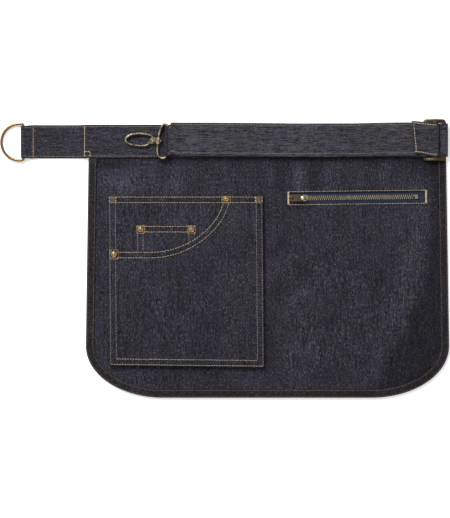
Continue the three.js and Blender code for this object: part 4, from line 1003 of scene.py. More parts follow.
def make_panel():
    """The panel, cut to its outline, with the zip window cut through it."""
    # Rows of the grid: under the belt, down to the corners, and closer towards the bottom
    heights = [BELT_LOWER + PANEL_TUCK * (1 - i / 5) for i in range(5)]
    corner_top, inset = PANEL_BOTTOM + CORNER_DOWN, CLOTH + SEAM_GAP
    heights += [lerp(BELT_LOWER, corner_top, i / 92) for i in range(92)]
    heights += [corner_top - (CORNER_DOWN - inset) * math.sin(math.pi / 2 * i / 30) for i in range(31)]
    rows = len(heights) - 1
    bm = bmesh.new()
    fold = bm.verts.layers.float.new("crease_shade")
    bmesh.ops.create_grid(bm, x_segments=170, y_segments=rows, size=1.0)
    for vert in bm.verts:
        y = heights[rows - round((vert.co.y + 1) / 2 * rows)]
        left, right = panel_side(y, inset)
        x = lerp(left, right, (vert.co.x + 1) / 2)
        vert.co = place(x, y, panel_top(x, min(y, BELT_LOWER)))
        # Painted light and shade of the creases and the side fold, for the denim's shader
        vert[fold] = crease_shade(x, y)
    lean = math.radians(ZIP_TURN)
    along = Vector((math.cos(lean), math.sin(lean), 0))
    across = Vector((-along.y, along.x, 0))
    middle, reach, half = place(WINDOW_X, WINDOW_Y, 0), WINDOW_HALF * MM, WINDOW_W / 2 * MM
    for direction, distance in ((along, reach), (-along, reach), (across, half), (-across, half)):
        geom = list(bm.verts) + list(bm.edges) + list(bm.faces)
        bmesh.ops.bisect_plane(bm, geom=geom, plane_co=middle + direction * distance, plane_no=direction,
                               dist=1e-6)
    spots = [(face, face.calc_center_median() - middle) for face in bm.faces]
    hole = [face for face, spot in spots if abs(spot.dot(along)) < reach and abs(spot.dot(across)) < half]
    bmesh.ops.delete(bm, geom=hole, context="FACES")
    bmesh.ops.recalc_face_normals(bm, faces=bm.faces)
    if sum(face.normal.z for face in bm.faces) < 0:
        bmesh.ops.reverse_faces(bm, faces=bm.faces)
    piece = finish_piece(bm, "denim_panel", "denim_twill", "apron_panel", recalc=False)
    give_wall(piece, CLOTH)


# The hem's section: depths from its fold on both faces, and its inside round the panel's edge
HEM_DEPTHS = (EDGE_W, 9.3, 8.7, 8.1, 7.0, 5.6, 4.2, 2.8, 2.1, 1.5, 0.9)
HEM_INSIDE = ((EDGE_W, 2.75), (6, EDGE_TOP - CLOTH), (CLOTH + 0.2, EDGE_TOP - CLOTH), (CLOTH, EDGE_TOP / 2),
              (CLOTH + 0.2, CLOTH), (6, CLOTH), (EDGE_W, 0.85))


def make_edge():
    """The folded band round the panel's sides and bottom, with its two rows of stitches."""
    top, corner_top = BELT_LOWER - SEAM_GAP, PANEL_BOTTOM + CORNER_DOWN
    heights = [lerp(top, corner_top, i / 110) for i in range(110)]
    heights += [corner_top - CORNER_DOWN * math.sin(math.pi / 2 * i / 60) for i in range(61)]
    left = [(panel_side(y, 0)[0], y, 0.0) for y in heights]
    right = [(panel_side(y, 0)[1], y, 0.0) for y in reversed(heights)]
    line = resample(left + right, 620)
    rings = []
    for i, (x, y, _) in enumerate(line):
        before, after = Vector(line[max(i - 1, 0)]), Vector(line[min(i + 1, len(line) - 1)])
        along = (after - before).normalized()
        inward = Vector((-along.y, along.x)) if 0 < i < len(line) - 1 else Vector((1 if i == 0 else -1, 0))
        ring = []

        def spot(depth, z):
            ring.append(place(x + inward.x * depth, y + inward.y * depth, z))

        for depth in HEM_DEPTHS:
            px, py = x + inward.x * depth, y + inward.y * depth
            spot(depth, max(0.0, 0.12 + 0.5 * hem_relief(depth, px + 50, py)))
        for angle in (60, 30, 0, -30, -60):
            roll = math.radians(angle)
            spot(0.9 * (1 - math.cos(roll)), EDGE_TOP / 2 - (EDGE_TOP / 2 - 0.1) * math.sin(roll))
        for depth in reversed(HEM_DEPTHS):
            px, py = x + inward.x * depth, y + inward.y * depth
            ease = rounded_edge(EDGE_W + 0.01 - depth, 0.4)
            spot(depth, EDGE_TOP + hem_relief(depth, px, py) - ease)
        for depth, z in HEM_INSIDE:
            spot(depth, z)
        rings.append(ring)
    finish_piece(loft(rings), "folded_hem", "denim_hem", "edge_binding")
    rows = []
    for inset in (size("outer_row"), size("inner_row")):
        row = []
        for i in range(1, len(line) - 1):
            along = (Vector(line[i + 1]) - Vector(line[i - 1])).normalized()
            px, py = line[i][0] - along.y * inset, line[i][1] + along.x * inset
            row.append((px, py, EDGE_TOP + hem_relief(inset, px, py) + THREAD_LIFT))
        rows.append(row)
    sew("hem_stitches", rows, "hem_thread", "denim_edge", jitter=0.12)


def paint_fold_shadow(bm, start, end):
    """Paints the shadow in a strap's fold round the hook's loop: a darker, browner band between two places
    along X.
    """
    band = bm.verts.layers.float.new("seam_band")
    low, high = place(start, 0, 0).x, place(end, 0, 0).x
    for vert in bm.verts:
        if low < vert.co.x < high:
            vert[band] = 1.0


# The belt's sewn left end: its cross row, the far side of its box and the box's height, from the belt's end
# and middle line
END_ROW = 3.0
END_BOX = 9.5
END_BOX_Y = -12.5


def make_waist_belt():
    """The belt along the panel's top, sewn down at its left end."""
    path = waist_belt_path()
    bm = path.build()
    # Painted shadow on the belt between the loop's bar and the strap's fold
    paint_fold_shadow(bm, HOOK_PLACE - 5.5, HOOK_PLACE + 8)
    finish_piece(bm, "belt_on_panel", "denim_belt", "waist_belt")
    inset = size("belt_row")
    rows = [path.row(inset, side, face) for side in (1, -1) for face in (1, -1)]
    sew("belt_stitches", rows, "faded_thread", "denim_strap", jitter=0.1)
    left_row = [(BELT_LEFT + END_ROW, y, BELT_Z + STRAP_T / 2 - 0.05) for y in spaced(-18.5, 18.5, 20)]
    box = [(BELT_LEFT + END_ROW, END_BOX_Y), (BELT_LEFT + END_BOX, END_BOX_Y), (BELT_LEFT + END_BOX, -18.4)]
    box_row = [(x, y, BELT_Z + STRAP_T / 2 - 0.02) for x, y in box]
    sew("belt_end_stitches", [left_row, box_row], "polyester_thread", "denim_strap",
        gap=0.2, thick=0.85, jitter=0.08)


def make_adjust_strap():
    """The long strap between the slider and the hook, with its sewn end on top."""
    path = adjust_strap_path()
    bm = path.build()
    # Painted shadow in the strap's fold round the loop's bar
    paint_fold_shadow(bm, BELT_LEFT, HOOK_PLACE + 1.5)
    finish_piece(bm, "long_strap", "denim_twill_crosswise", "adjust_strap")
    inset = size("belt_row")
    bail, front, end = path.marks["bail"], path.marks["front_end"], path.marks["end_piece"]
    lower = size("strap_row")
    rows = [path.row(inset, 1, 1, bail + 16, front), path.row(lower, -1, 1, bail + 16, front)]
    sew("strap_stitches", rows, "faded_thread", "denim_strap", jitter=0.1)
    # The strap has turned over twice here, so its upper face is the loft's lower one
    last = len(path.stations) - 1
    tip = [path.point(last, across, 0.05 - STRAP_T / 2) for across in spaced(-18.0, 18.5, 20)]
    tip = [(x + 2.2, y, z) for x, y, z in tip]
    ends = [tip, path.row(inset, -1, -1, end), path.row(inset, 1, -1, end)]
    sew("strap_end_stitches", ends, "polyester_thread", "denim_strap", gap=0.3, thick=0.7)


def make_ring_strap():
    """The short strap that is folded round the ring's bar."""
    path = ring_strap_path()
    finish_piece(path.build(), "ring_strap_cloth", "denim_belt", "ring_strap")
    inset, start = size("belt_row"), path.marks["over_ring"]
    # The strap turns right over round the ring, so its upper face is the loft's lower one
    rows = [path.row(inset, side, face, start) for side in (1, -1) for face in (1, -1)]
    seam_x = RING_BAR_X + FOLD_BACK * 0.96
    z = STRAP_T * 1.5 + STRAP_GAP + STRAP_T / 2 - 0.02
    sew("ring_strap_stitches", rows, "faded_thread", "denim_strap", jitter=0.1)
    seam = [(seam_x, y, z) for y in spaced(-19.5, 19.0, 20)]
    sew("ring_seam_stitches", [seam], "orange_thread", "denim_strap", gap=0.2, thick=0.85)


def pocket_sheet(name, top_line, bottom_line, columns, height, band, replaces):
    """A patch of the pocket between two lines, with its upper face at a height given in pocket distances."""
    tops, bottoms = resample(top_line, columns), resample(bottom_line, columns)
    near = (0.0, 0.5, 1.0, 1.5, 2.1, 3.2, 4.4, 5.6, 6.8, 7.8, 8.6, 9.4, 10.6)

    def down_shares(length):
        first, last = near[-1] / length, 1 - near[-1] / length
        inner = [lerp(first, last, i / 70) for i in range(1, 70)]
        return [d / length for d in near] + inner + [1 - d / length for d in reversed(near)]

    rows = len(down_shares(100.0))
    bm = bmesh.new()
    seam_band = bm.verts.layers.float.new("seam_band")
    bmesh.ops.create_grid(bm, x_segments=columns, y_segments=rows - 1, size=1.0)
    for vert in bm.verts:
        column = round((vert.co.x + 1) / 2 * columns)
        row = rows - 1 - round((vert.co.y + 1) / 2 * (rows - 1))
        a, b = Vector(tops[column]), Vector(bottoms[column])
        across, down = a.lerp(b, down_shares((b - a).length)[row])
        x, y = pocket_point(across, down)
        vert.co = place(x, y, height(across, down, x, y))
        vert[seam_band] = band(across, down)
    for face in bm.faces:
        if face.normal.z < 0:
            face.normal_flip()
    piece = finish_piece(bm, name, "denim_twill", replaces, recalc=False)
    give_wall(piece, CLOTH)
    return piece


def in_band(distance, strength=0.35):
    """How much of the seam's darker band lies at a distance from its edge."""
    return strength * (1 - smooth(distance, size("inner_row") - 0.6, size("inner_row") + 1.0))


def edge_distance(across, down, left=0.0, top=-1e3, right=POCKET_W, bottom=POCKET_H):
    return min(across - left, right - across, down - top, bottom - down)


def back_height(across, down, x, y):
    distance = edge_distance(across, down, top=0.0)
    hem = 0.35 * (1 - smooth(down, HEM_W, HEM_W + 1.6))
    relief = hem + 0.5 * hem_relief(down, x, y)
    return BACK_TOP - rounded_edge(distance) + relief + 0.12 * ripple(x, y, 22, 4.0)


def coin_height(across, down, x, y):
    distance = edge_distance(across, down, COIN_X, COIN_DOWN, COIN_X + COIN_W, COIN_DOWN + COIN_H)
    relief = 0.55 * hem_relief(down - COIN_DOWN, x, y, 0.2)
    sides = min(across - COIN_X, COIN_X + COIN_W - across)
    return COIN_TOP - rounded_edge(distance) + relief + 0.35 * hem_relief(sides, y, x)


MOUTH = mouth_line(0.0)


def front_height(across, down, x, y):
    mouth = from_line((across, down), MOUTH)
    sides = edge_distance(across, down)
    swell = 1.1 * smooth(min(sides, mouth), 8, 45) * bell(down, 120, 90)
    relief = hem_relief(mouth, x, y, 0.5) + 0.8 * hem_relief(sides, x, y, 0.12)
    if across > MOUTH_ACROSS:
        relief += 0.7 * hem_relief(down, x, y, 0.25)
    swell *= 0.45 + 0.55 * ripple(x, y, 70, 6.0)
    return FRONT_TOP + relief + swell - rounded_edge(min(mouth, sides), 0.6)


def front_band(across, down):
    top = in_band(down) if across > MOUTH_ACROSS else 0.0
    mouth = in_band(from_line((across, down), MOUTH))
    return max(mouth, top, in_band(edge_distance(across, down), 0.12))


def make_pocket():
    """The plain patch, the small pocket on it, and the patch with the scooped mouth on top."""
    w, h, right, bottom = POCKET_W, POCKET_H, COIN_X + COIN_W, COIN_DOWN + COIN_H
    back = pocket_sheet("pocket_lining_patch", [(0, 0), (w, 0)], [(0, h), (w, h)], 90, back_height,
                        lambda across, down: in_band(down), "pocket_back")
    coin = pocket_sheet("small_pocket", [(COIN_X, COIN_DOWN), (right, COIN_DOWN)],
                        [(COIN_X, bottom), (right, bottom)], 60, coin_height,
                        lambda across, down: in_band(down - COIN_DOWN), "coin_pocket")
    line = MOUTH[:-1] + [(MOUTH_ACROSS + 0.2, 0.0), (w, 0.0)]
    front = pocket_sheet("scooped_pocket", line, [(0, h), (w, h)], 150, front_height, front_band,
                         "pocket_front")


def seam(points, height):
    """A row along points of the pocket, which lies on the cloth of that height."""
    out = []
    for across, down in resample(points, max(int(math.dist(points[0], points[-1]) / 2), 60)):
        x, y = pocket_point(across, down)
        out.append((x, y, height(across, down, x, y) + THREAD_LIFT))
    return out


def sew_pocket():
    """Double rows round the three pieces of the pocket, and the bar tacks at its upper corners."""
    w, h, right, bottom = POCKET_W, POCKET_H, COIN_X + COIN_W, COIN_DOWN + COIN_H
    insets = (size("outer_row"), size("inner_row") - 0.6)
    sides = [seam([(across, start), (across, h - inset)], front_height) for inset in insets
             for across, start in ((inset, MOUTH_DOWN + 2), (w - inset, 2))]
    sew("pocket_side_stitches", sides, "faded_thread", jitter=0.12)
    rows = [seam([(inset, h - inset), (w - inset, h - inset)], front_height) for inset in insets]
    rows += [seam(mouth_line(inset), front_height) for inset in insets]
    rows += [seam([(MOUTH_ACROSS + 2, inset), (w - 2, inset)], front_height) for inset in insets]
    sew("pocket_stitches", rows, jitter=0.12)
    sides = [seam([(inset, 2), (inset, MOUTH_DOWN)], back_height) for inset in insets]
    sew("lining_side_stitches", sides, "faded_thread", jitter=0.12)
    rows = [seam([(2, inset), (MOUTH_ACROSS - 1, inset)], back_height) for inset in insets]
    sew("lining_stitches", rows, jitter=0.12)
    rows = [seam([(COIN_X + 1, COIN_DOWN + inset), (right - 1, COIN_DOWN + inset)], coin_height)
            for inset in insets]
    sew("small_pocket_stitches", rows, jitter=0.1)
    sides = [seam([(across, COIN_DOWN + 1), (across, bottom - 2)], coin_height) for inset in insets
             for across in (COIN_X + inset, right - inset)]
    sew("small_pocket_side_stitches", sides, "faded_thread", jitter=0.1)
    tacks, frames = bmesh.new(), []
    for across, height in ((5.0, back_height), (w - 5.0, front_height)):
        down = 4.2
        x, y = pocket_point(across, down)
        z = height(across, down, x, y)
        bar_tack(tacks, x, y, z + 0.2, 7.0, 6.4, 90)
        frames += [[(x + side * 3.9, y + along, z + 0.3) for along in spaced(-3.6, 3.6, 4)]
                   for side in (1, -1)]
    finish_piece(tacks, "pocket_bar_tacks", "hem_thread", recalc=False)
    sew("tack_frames", frames, thick=0.8)


# Each rivet's place across and down the pocket, and the height of its cloth
RIVETS = (
    ("rivet_top", MOUTH_ACROSS + HEM_W / 2 + 1.2, 3.8, FRONT_TOP + 0.8),
    ("rivet_side", 6.4, MOUTH_DOWN + HEM_W / 2, FRONT_TOP + 0.8),
    ("rivet_coin_left", COIN_X + 5.2, COIN_DOWN + 5.2, COIN_TOP + 0.3),
    ("rivet_coin_right", COIN_X + COIN_W - 5.2, COIN_DOWN + 5.2, COIN_TOP + 0.3),
)

# A rivet's profile, as radius and height: its back from the foot up in millimetres, then its cap in shares
# of its radius, first from the cloth up and then from the cap's top
RIVET_BACK = ((0, 0), (2.6, 0), (3.0, 0.15), (3.0, 0.5), (1.2, 0.7))
RIVET_RIM = ((0.94, -0.15), (1, 0.15), (0.97, 0.45))
RIVET_CAP = ((0.84, -0.62), (0.66, -0.55), (0.56, -0.75), (0.44, -0.75), (0.36, -0.4), (0.26, -0.08),
             (0.12, 0), (0, 0))


def make_rivets():
    """The four cap rivets, each in a square of thread."""
    for node, across, down, cloth in RIVETS:
        low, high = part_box(node)
        cap = (high.x - low.x) / 2 / MM
        base, top = low.z / MM, high.z / MM
        profile = [(r, base + z) for r, z in RIVET_BACK] + [(1.2, cloth - 0.2)]
        profile += [(cap * r, cloth + z) for r, z in RIVET_RIM] + [(cap * r, top + z) for r, z in RIVET_CAP]
        spot = place(*pocket_point(across, down), 0)
        bm = moved(spun(profile, 28), Matrix.Translation(spot))
        finish_piece(bm, node + "_cap", "rivet_brass", node)
    rows = []
    for node, across, down, cloth in RIVETS:
        half, height = (4.8, coin_height) if "coin" in node else (5.3, front_height)
        corners = [(-half, -half), (half, -half), (half, half), (-half, half), (-half, -half)]
        for (ax, ay), (bx, by) in zip(corners, corners[1:]):
            row = []
            for a, d in zip(spaced(ax, bx, 4), spaced(ay, by, 4)):
                a, d = across + a, max(down + d, 0.6)
                x, y = pocket_point(a, d)
                row.append((x, y, height(a, d, x, y) + 0.2))
            rows.append(row)
    sew("rivet_stitches", rows, "orange_thread", thick=0.7)


# Metal

def make_ring():
    """The D-ring, leaning from its bar down to the paper."""
    reach, side = RING_W / 2 - RING_WIRE / 2, RING_W / 2 - RING_WIRE / 2 - RING_CORNER
    line = [(0, lerp(-side, side, i / 30), 0) for i in range(1, 30)]
    line += arc(-RING_CORNER, side, RING_CORNER, 0, 90, 8)
    line += arc(-RING_STRAIGHT, 0, reach, 90, 270, 72)
    line += arc(-RING_CORNER, -side, RING_CORNER, 270, 360, 8)
    lean = math.asin((RING_Z - RING_WIRE / 2) / (RING_STRAIGHT + reach))
    bm = tube(line, RING_WIRE / 2, sides=20, closed=True)
    moved(bm, to_frame() @ shift(RING_BAR_X, RING_MIDDLE, RING_Z) @ turn(-math.degrees(lean), "Y"))
    finish_piece(bm, "d_ring_wire", "rubbed_bronze", "d_ring", "ring")


def arc(x, y, radius, start, end, steps):
    """Points of a circle's arc, from one angle in degrees to another."""
    angles = [math.radians(angle) for angle in spaced(start, end, steps)]
    return [(x + radius * math.cos(a), y + radius * math.sin(a), 0) for a in angles]


def make_slider():
    """Frame and middle bar, bowed up between the outer bars."""
    line = rounded(SLIDER_L - SLIDER_RAIL, SLIDER_W - SLIDER_RAIL, 1.4, 4)
    line = resample([(x, y, 0) for x, y in line + line[:1]], 150)[:-1]
    section = rounded(SLIDER_RAIL, BAR_T, BAR_BEVEL + 0.15, 3)
    rings, last = [], len(line)
    inner = SLIDER_W / 2 - SLIDER_RAIL
    for i, point in enumerate(line):
        along = (Vector(line[(i + 1) % last]) - Vector(line[i - 1])).normalized()
        side = along.cross(Vector((0, 0, 1)))
        ring = []
        for a, z in section:
            spot = Vector(point) + side * a
            rail = smooth(abs(spot.y), inner - 1.0, inner + 1.2)
            bow = (MIDDLE_BAR_Z - OUTER_BAR_Z) * (1 + math.cos(math.pi * spot.x / (SLIDER_L / 2))) / 2 * rail
            ring.append(Vector((spot.x, spot.y, z + bow)) * MM)
        rings.append(ring)
    frame_part = loft(rings, closed=True)
    bar = block((SLIDER_BAR, SLIDER_W - SLIDER_RAIL, BAR_T), BAR_BEVEL, 3, (0, 0, MIDDLE_BAR_Z - OUTER_BAR_Z))
    bm = moved(merge([frame_part, bar]), to_frame() @ shift(SLIDER_MID_X, SLIDER_Y, OUTER_BAR_Z))
    finish_piece(bm, "three_bar_slider", "patinated_bronze", "strap_slider")


BARREL_T = 4.6
BARREL_Z = BELT_Z + STRAP_T / 2 + SEAM_GAP + BARREL_T / 2
BAIL_LEAN = math.asin((BAIL_Z - BARREL_Z) / BAIL_DEPTH)
HOOK_L = 38.6
HOOK_HALF_W = 7.2
GATE_PIVOT = (6.2, 1.2)


def smooth_line(points, steps):
    """A smooth line through points, by Catmull-Rom pieces."""
    pts = [Vector(p) for p in points]
    pts = [2 * pts[0] - pts[1]] + pts + [2 * pts[-1] - pts[-2]]
    out = []
    for a, b, c, d in zip(pts, pts[1:], pts[2:], pts[3:]):
        for i in range(steps):
            t = i / steps
            bend = (2 * a - 5 * b + 4 * c - d) * t ** 2 + (3 * b - a - 3 * c + d) * t ** 3
            out.append(0.5 * (2 * b + (c - a) * t + bend))
    return out + [pts[-2]]


# Bends of the loop's wire in millimetres, and of the hook's and latch's wires as shares of length and width
BAIL_BENDS = (
    (0, -8), (0, 0), (0, 8), (0, 16), (-1.2, 19.3), (-4.3, 20.2), (-7.2, 18.6), (-9.3, 12.8), (-10.7, 5.5),
    (-BAIL_DEPTH, 0), (-BAIL_DEPTH - 0.1, -6), (-BAIL_DEPTH - 0.1, -12.5), (-9.8, -17.4), (-6.3, -20.1),
    (-2.4, -20.0), (-0.3, -17.2),
)
HOOK_BENDS = (
    (0.150, 0.38), (0.230, 0.80), (0.420, 1.00), (0.660, 0.97), (0.880, 0.66), (1.000, -0.02),
    (0.950, -0.62), (0.780, -0.95),
)
LATCH_BENDS = ((0.30, 0.78), (0.60, 1.0), (1.0, 0.94))
LATCH_TIP = 28.4
# Turned profiles, as radius and height: the swivel's shank and the latch's pin
SHANK = ((0, -4.0), (1.6, -4.0), (2.2, -3.7), (2.2, -3.0), (1.3, -2.7), (1.3, 3.2), (0, 3.2))
PIN = ((0, -1.0), (1.0, -1.0), (1.0, 1.9), (1.25, 2.0), (1.1, 2.25), (0.6, 2.35), (0, 2.35))


def loop_frame():
    """From the loop's own drawing, round its bar in the strap's fold, to the frame."""
    return to_frame() @ shift(HOOK_PLACE, BAIL_MIDDLE, BAIL_Z) @ turn(BAIL_TURN, "Z")


def hook_frame():
    """From the hook's own drawing, along its shank, to the frame."""
    drop = shift(-BAIL_DEPTH * math.cos(BAIL_LEAN), 0, BARREL_Z - BAIL_Z)
    return loop_frame() @ drop @ turn(180, "Z") @ turn(-HOOK_DROP, "Y")


def make_loop():
    """The wire loop with its barrel and two collars."""
    bends = [(x, y, 0) for x, y in BAIL_BENDS[-1:] + BAIL_BENDS + BAIL_BENDS[:1]]
    loop = tube(smooth_line(bends, 8)[8:-9], BAIL_WIRE / 2, 18, closed=True)
    barrel = block((4.8, 9.0, BARREL_T), 1.5, 4, (-BAIL_DEPTH, 0, 0))
    collars = [block((5.1, 0.8, BARREL_T + 0.3), 0.35, 2, (-BAIL_DEPTH, y, 0)) for y in (-2.9, 2.9)]
    bm = moved(merge([loop, barrel] + collars), loop_frame() @ turn(-math.degrees(BAIL_LEAN), "Y"))
    finish_piece(bm, "wire_loop", "worn_brass", "hook_bail", "bail")


def make_hook():
    """The hook's tapering wire, with its base, swivel shank and the latch's pin."""
    pivot_x, pivot_y = GATE_PIVOT
    line = smooth_line([(a * HOOK_L, -c * HOOK_HALF_W, 0) for a, c in HOOK_BENDS], 10)
    wire = tube(line, lambda s: 1.4 * (0.82 + 0.18 * min(s, 1 - s) * 4) if s < 0.96 else 1.12)
    base = plate([rounded(pivot_x + 3 - 2.7, 7.4, 2.0, 5, (pivot_x + 3 + 2.7) / 2, -0.4)], -1.4, 0, 0.45, 3)
    shank, pin = moved(spun(SHANK), turn(90, "Y")), moved(spun(PIN), shift(pivot_x, pivot_y, 0))
    bm = moved(merge([wire, base, shank, pin]), hook_frame())
    finish_piece(bm, "snap_hook", "worn_brass", "hook_body", "hook", angle=50)


def make_latch():
    """The sprung latch: a wire arm with a drop-shaped eye on the pin."""
    pivot_x, pivot_y = GATE_PIVOT
    line = [(pivot_x + 4, pivot_y + 1.7, 0.95)]
    line += [(pivot_x + a * (LATCH_TIP - pivot_x), c * HOOK_HALF_W, 0) for a, c in LATCH_BENDS]
    arm = tube(smooth_line(line, 10), lambda s: 0.95 + 0.2 * min(s * 4, 1) if s < 0.97 else 0.95, 14)
    eye = plate([drop_outline(8.4, 2.7), list(reversed(drop_outline(6.2, 1.7)))], 0.3, 1.6, 0.35, 2)
    moved(eye, shift(pivot_x, pivot_y, 0) @ turn(14, "Z"))
    bm = moved(merge([arm, eye]), hook_frame())
    finish_piece(bm, "hook_latch", "worn_brass", "hook_gate", "gate", angle=50)


def drop_outline(length, radius):
    """Outline of a drop-shaped eye round the pivot, drawn out towards the latch's wire."""
    out = []
    for angle in steps_round(36):
        stretch = max(math.cos(angle), 0.0) ** 2
        out.append(((radius + (length - 2 * radius) * stretch) * math.cos(angle),
                    radius * math.sin(angle) * (1 - 0.25 * stretch)))
    return out


# Zip

TAPE_TOP = PANEL_Z - CLOTH / 2 - SEAM_GAP
CHAIN_BOTTOM = TAPE_TOP + SEAM_GAP
CHAIN_TOP = CHAIN_BOTTOM + 1.2
ZIP_SLIDER_L = 10.8
ZIP_SLIDER_W = 8.6
ZIP_SLIDER_LEFT = -WINDOW_HALF + 22.2 - ZIP_SLIDER_L
STOP_RIGHT = WINDOW_HALF - 7.8
ZIP_SLIDER_TOP = CHAIN_TOP + SEAM_GAP + 0.9
PIVOT_X = ZIP_SLIDER_LEFT + 3.6
PIVOT_Z = ZIP_SLIDER_TOP + 0.6 + SEAM_GAP
PULL_L = 14.4


def zip_frame():
    """From the zip's own drawing, round the window's middle, to the frame."""
    return to_frame() @ shift(WINDOW_X, WINDOW_Y, 0) @ turn(ZIP_TURN, "Z")


TAPE_T = 0.96
BAG_T = 0.6
BAG_DROP = 150
TEETH_Z = (CHAIN_BOTTOM + CHAIN_TOP) / 2
TOOTH_PITCH = 2.46
CLOSED_TOOTH = (1.5, 3.3, 1.15)
OPEN_TOOTH = (1.5, 2.4, 1.15)
CROWN_R = 2.5
CROWN_WIDENED = 4.2


def make_tapes():
    """The two tapes, each with a cord beside the teeth."""
    for node, side in (("zip_tape_upper", 1), ("zip_tape_lower", -1)):
        low, high = sorted((0.05 * side, TAPE_HALF * side))
        bm = bmesh.new()
        bmesh.ops.create_grid(bm, x_segments=120, y_segments=10, size=1.0)
        for vert in bm.verts:
            x, y = vert.co.x * TAPE_REACH, lerp(low, high, (vert.co.y + 1) / 2)
            cord = 0.25 * bell(abs(y), 3.6, 0.5)
            vert.co = Vector((x, y, TAPE_TOP + cord + 0.04 * ripple(x, y, 6, 2.0))) * MM
        moved(bm, zip_frame())
        piece = finish_piece(bm, node + "_cloth", "polyester_tape", node, recalc=False)
        give_wall(piece, TAPE_T)


def make_teeth():
    """Closed teeth up to the slider, open ones beyond it on both tapes, and the stop at their end."""
    left, right = ZIP_SLIDER_LEFT + 3.3, STOP_RIGHT - 4.3
    teeth = []
    for side in (1, -1):
        first = left + (0.9 if side > 0 else 0.9 + TOOTH_PITCH / 2)
        teeth += [block(CLOSED_TOOTH, 0.32, 1, (first + i * TOOTH_PITCH, side * 1.3, TEETH_Z))
                  for i in range(int((right - first - 0.6) / TOOTH_PITCH) + 1)]
    for side in (1, -1):
        teeth += [block(OPEN_TOOTH, 0.32, 1,
                        (ZIP_SLIDER_LEFT - 1.2 - i * TOOTH_PITCH, side * (2.0 + 0.05 * i), TEETH_Z))
                  for i in range(5)]
    finish_piece(moved(merge(teeth), zip_frame()), "zip_teeth", "tooth_brass", "zip_chain",
                 recalc=False, angle=35)
    stop = block((4.0, 5.2, 1.6), 0.5, 3, (STOP_RIGHT - 2, 0, CHAIN_BOTTOM + 0.8))
    finish_piece(moved(stop, zip_frame()), "zip_stop", "tooth_brass", "zip_end_stop")


def make_runner():
    """The zip's slider: its upper plate, wedge and cheeks, and the crown that holds the tab."""
    x = ZIP_SLIDER_LEFT + ZIP_SLIDER_L / 2
    outline = []
    for angle in steps_round(40):
        across, up = math.cos(angle), math.sin(angle)
        wide = 0.9 * (1 - 0.16 * across)
        outline.append((x + math.copysign(ZIP_SLIDER_L / 2 * abs(across) ** 0.6, across),
                        math.copysign(ZIP_SLIDER_W / 2 * abs(up) ** 0.6, up) * wide))
    cover = plate([outline], CHAIN_TOP + SEAM_GAP, ZIP_SLIDER_TOP, 0.4, 3)
    cheek_y, cheek_z = ZIP_SLIDER_W / 2 - 0.75, CHAIN_BOTTOM + 1.05
    cheeks = [block((ZIP_SLIDER_L - 2.4, 0.9, 2.1), 0.3, 2, (x, side * cheek_y, cheek_z)) for side in (1, -1)]
    wedge = block((2.4, 3.0, 1.5), 0.5, 2, (ZIP_SLIDER_LEFT + 1.4, 0, CHAIN_BOTTOM + 0.75))
    arch = [(PIVOT_X + x, 0, PIVOT_Z + z) for x, z, _ in arc(0, 0, CROWN_R, -25, 205, 24)]
    crown = tube(arch, 0.5, 10)
    for vert in crown.verts:
        vert.co.y *= CROWN_WIDENED
    # The crown's near-white colour is a painted highlight
    finish_piece(moved(crown, zip_frame()), "zip_crown", "bright_nickel", angle=45)
    bm = moved(merge([cover, wedge] + cheeks), zip_frame())
    finish_piece(bm, "zip_runner", "worn_brass", "zip_slider", angle=45)


def make_pull():
    """The zip's tab: a plate with an eye round the crown and a slot near its free end."""
    half, corner, arm, eye_end = 4.1, 2.0, 1.3, 3.3
    outer = [(0.6, -half + arm / 2), (0.6, half - arm / 2), (-eye_end / 2, half)]
    outer += [point[:2] for side, start in ((1, 90), (-1, 180))
              for point in arc(-PULL_L + corner, side * (half - corner), corner, start, start + 90, 8)]
    outer += [(-eye_end / 2, -half)]
    slot = rounded(1.8, 5.3, 0.85, 5, -PULL_L + 1.6 + 0.9)
    eye = rounded(eye_end - 0.6, 2 * (half - arm), 0.5, 4, -(eye_end + 0.6) / 2)
    bm = plate([outer, slot, eye], -0.6, 0.6, 0.28, 2)
    moved(bm, zip_frame() @ shift(PIVOT_X, 0, PIVOT_Z) @ turn(-3, "Y"))
    finish_piece(bm, "zip_tab", "patinated_bronze", "zip_pull", "pull", angle=40)


def sew_zip():
    """The two rows along the zip window and the bar tacks at its ends."""
    rows = [[on_panel(x, side * (WINDOW_W / 2 + 1.5)) for x in spaced(-WINDOW_HALF - 1, WINDOW_HALF + 1, 80)]
            for side in (1, -1)]
    sew("zip_stitches", rows, thick=0.5, jitter=0.1)
    tacks = bmesh.new()
    for end in (-WINDOW_HALF - 1.8, WINDOW_HALF + 1.8):
        x, y, z = on_panel(end, 0)
        bar_tack(tacks, x, y, z + 0.2, 15.5, 2.6, 90 + ZIP_TURN)
    finish_piece(tacks, "zip_bar_tacks", "polyester_thread", recalc=False)


def on_panel(x, y):
    """A point of the zip's own drawing, on the panel's upper face."""
    a = math.radians(ZIP_TURN)
    px, py = WINDOW_X + x * math.cos(a) - y * math.sin(a), WINDOW_Y + x * math.sin(a) + y * math.cos(a)
    return px, py, panel_top(px, py) + 0.1


def make_bag():
    """The flat bag that hangs from the lower tape, behind the panel."""
    reach, top = TAPE_REACH + 8, -TAPE_HALF - SEAM_GAP
    bm = bmesh.new()
    bmesh.ops.create_grid(bm, x_segments=70, y_segments=60, size=1.0)
    for vert in bm.verts:
        x, y = vert.co.x * reach, top - BAG_DROP * (1 - vert.co.y) / 2
        hem = min(reach - abs(x), y - top + BAG_DROP)
        vert.co = Vector((x, y, 0.96 - 0.14 * (1 + ripple(x, y, 16, 7.7)) - 0.2 * bell(hem, 6, 0.8))) * MM
    moved(bm, zip_frame())
    piece = finish_piece(bm, "zip_bag", "pocketing", "zip_pocket_bag", recalc=False)
    give_wall(piece, BAG_T)


# Stage

# The photo's view: from straight above, far off
CAMERA_PLACE = (0.0005, -0.0004, 1.727)
LENS = 100
SENSOR = 36
LIGHT_PLACE = (-0.7, 1.2, 1.15)
LIGHT_W = 0.75
LIGHT_WATTS = 40


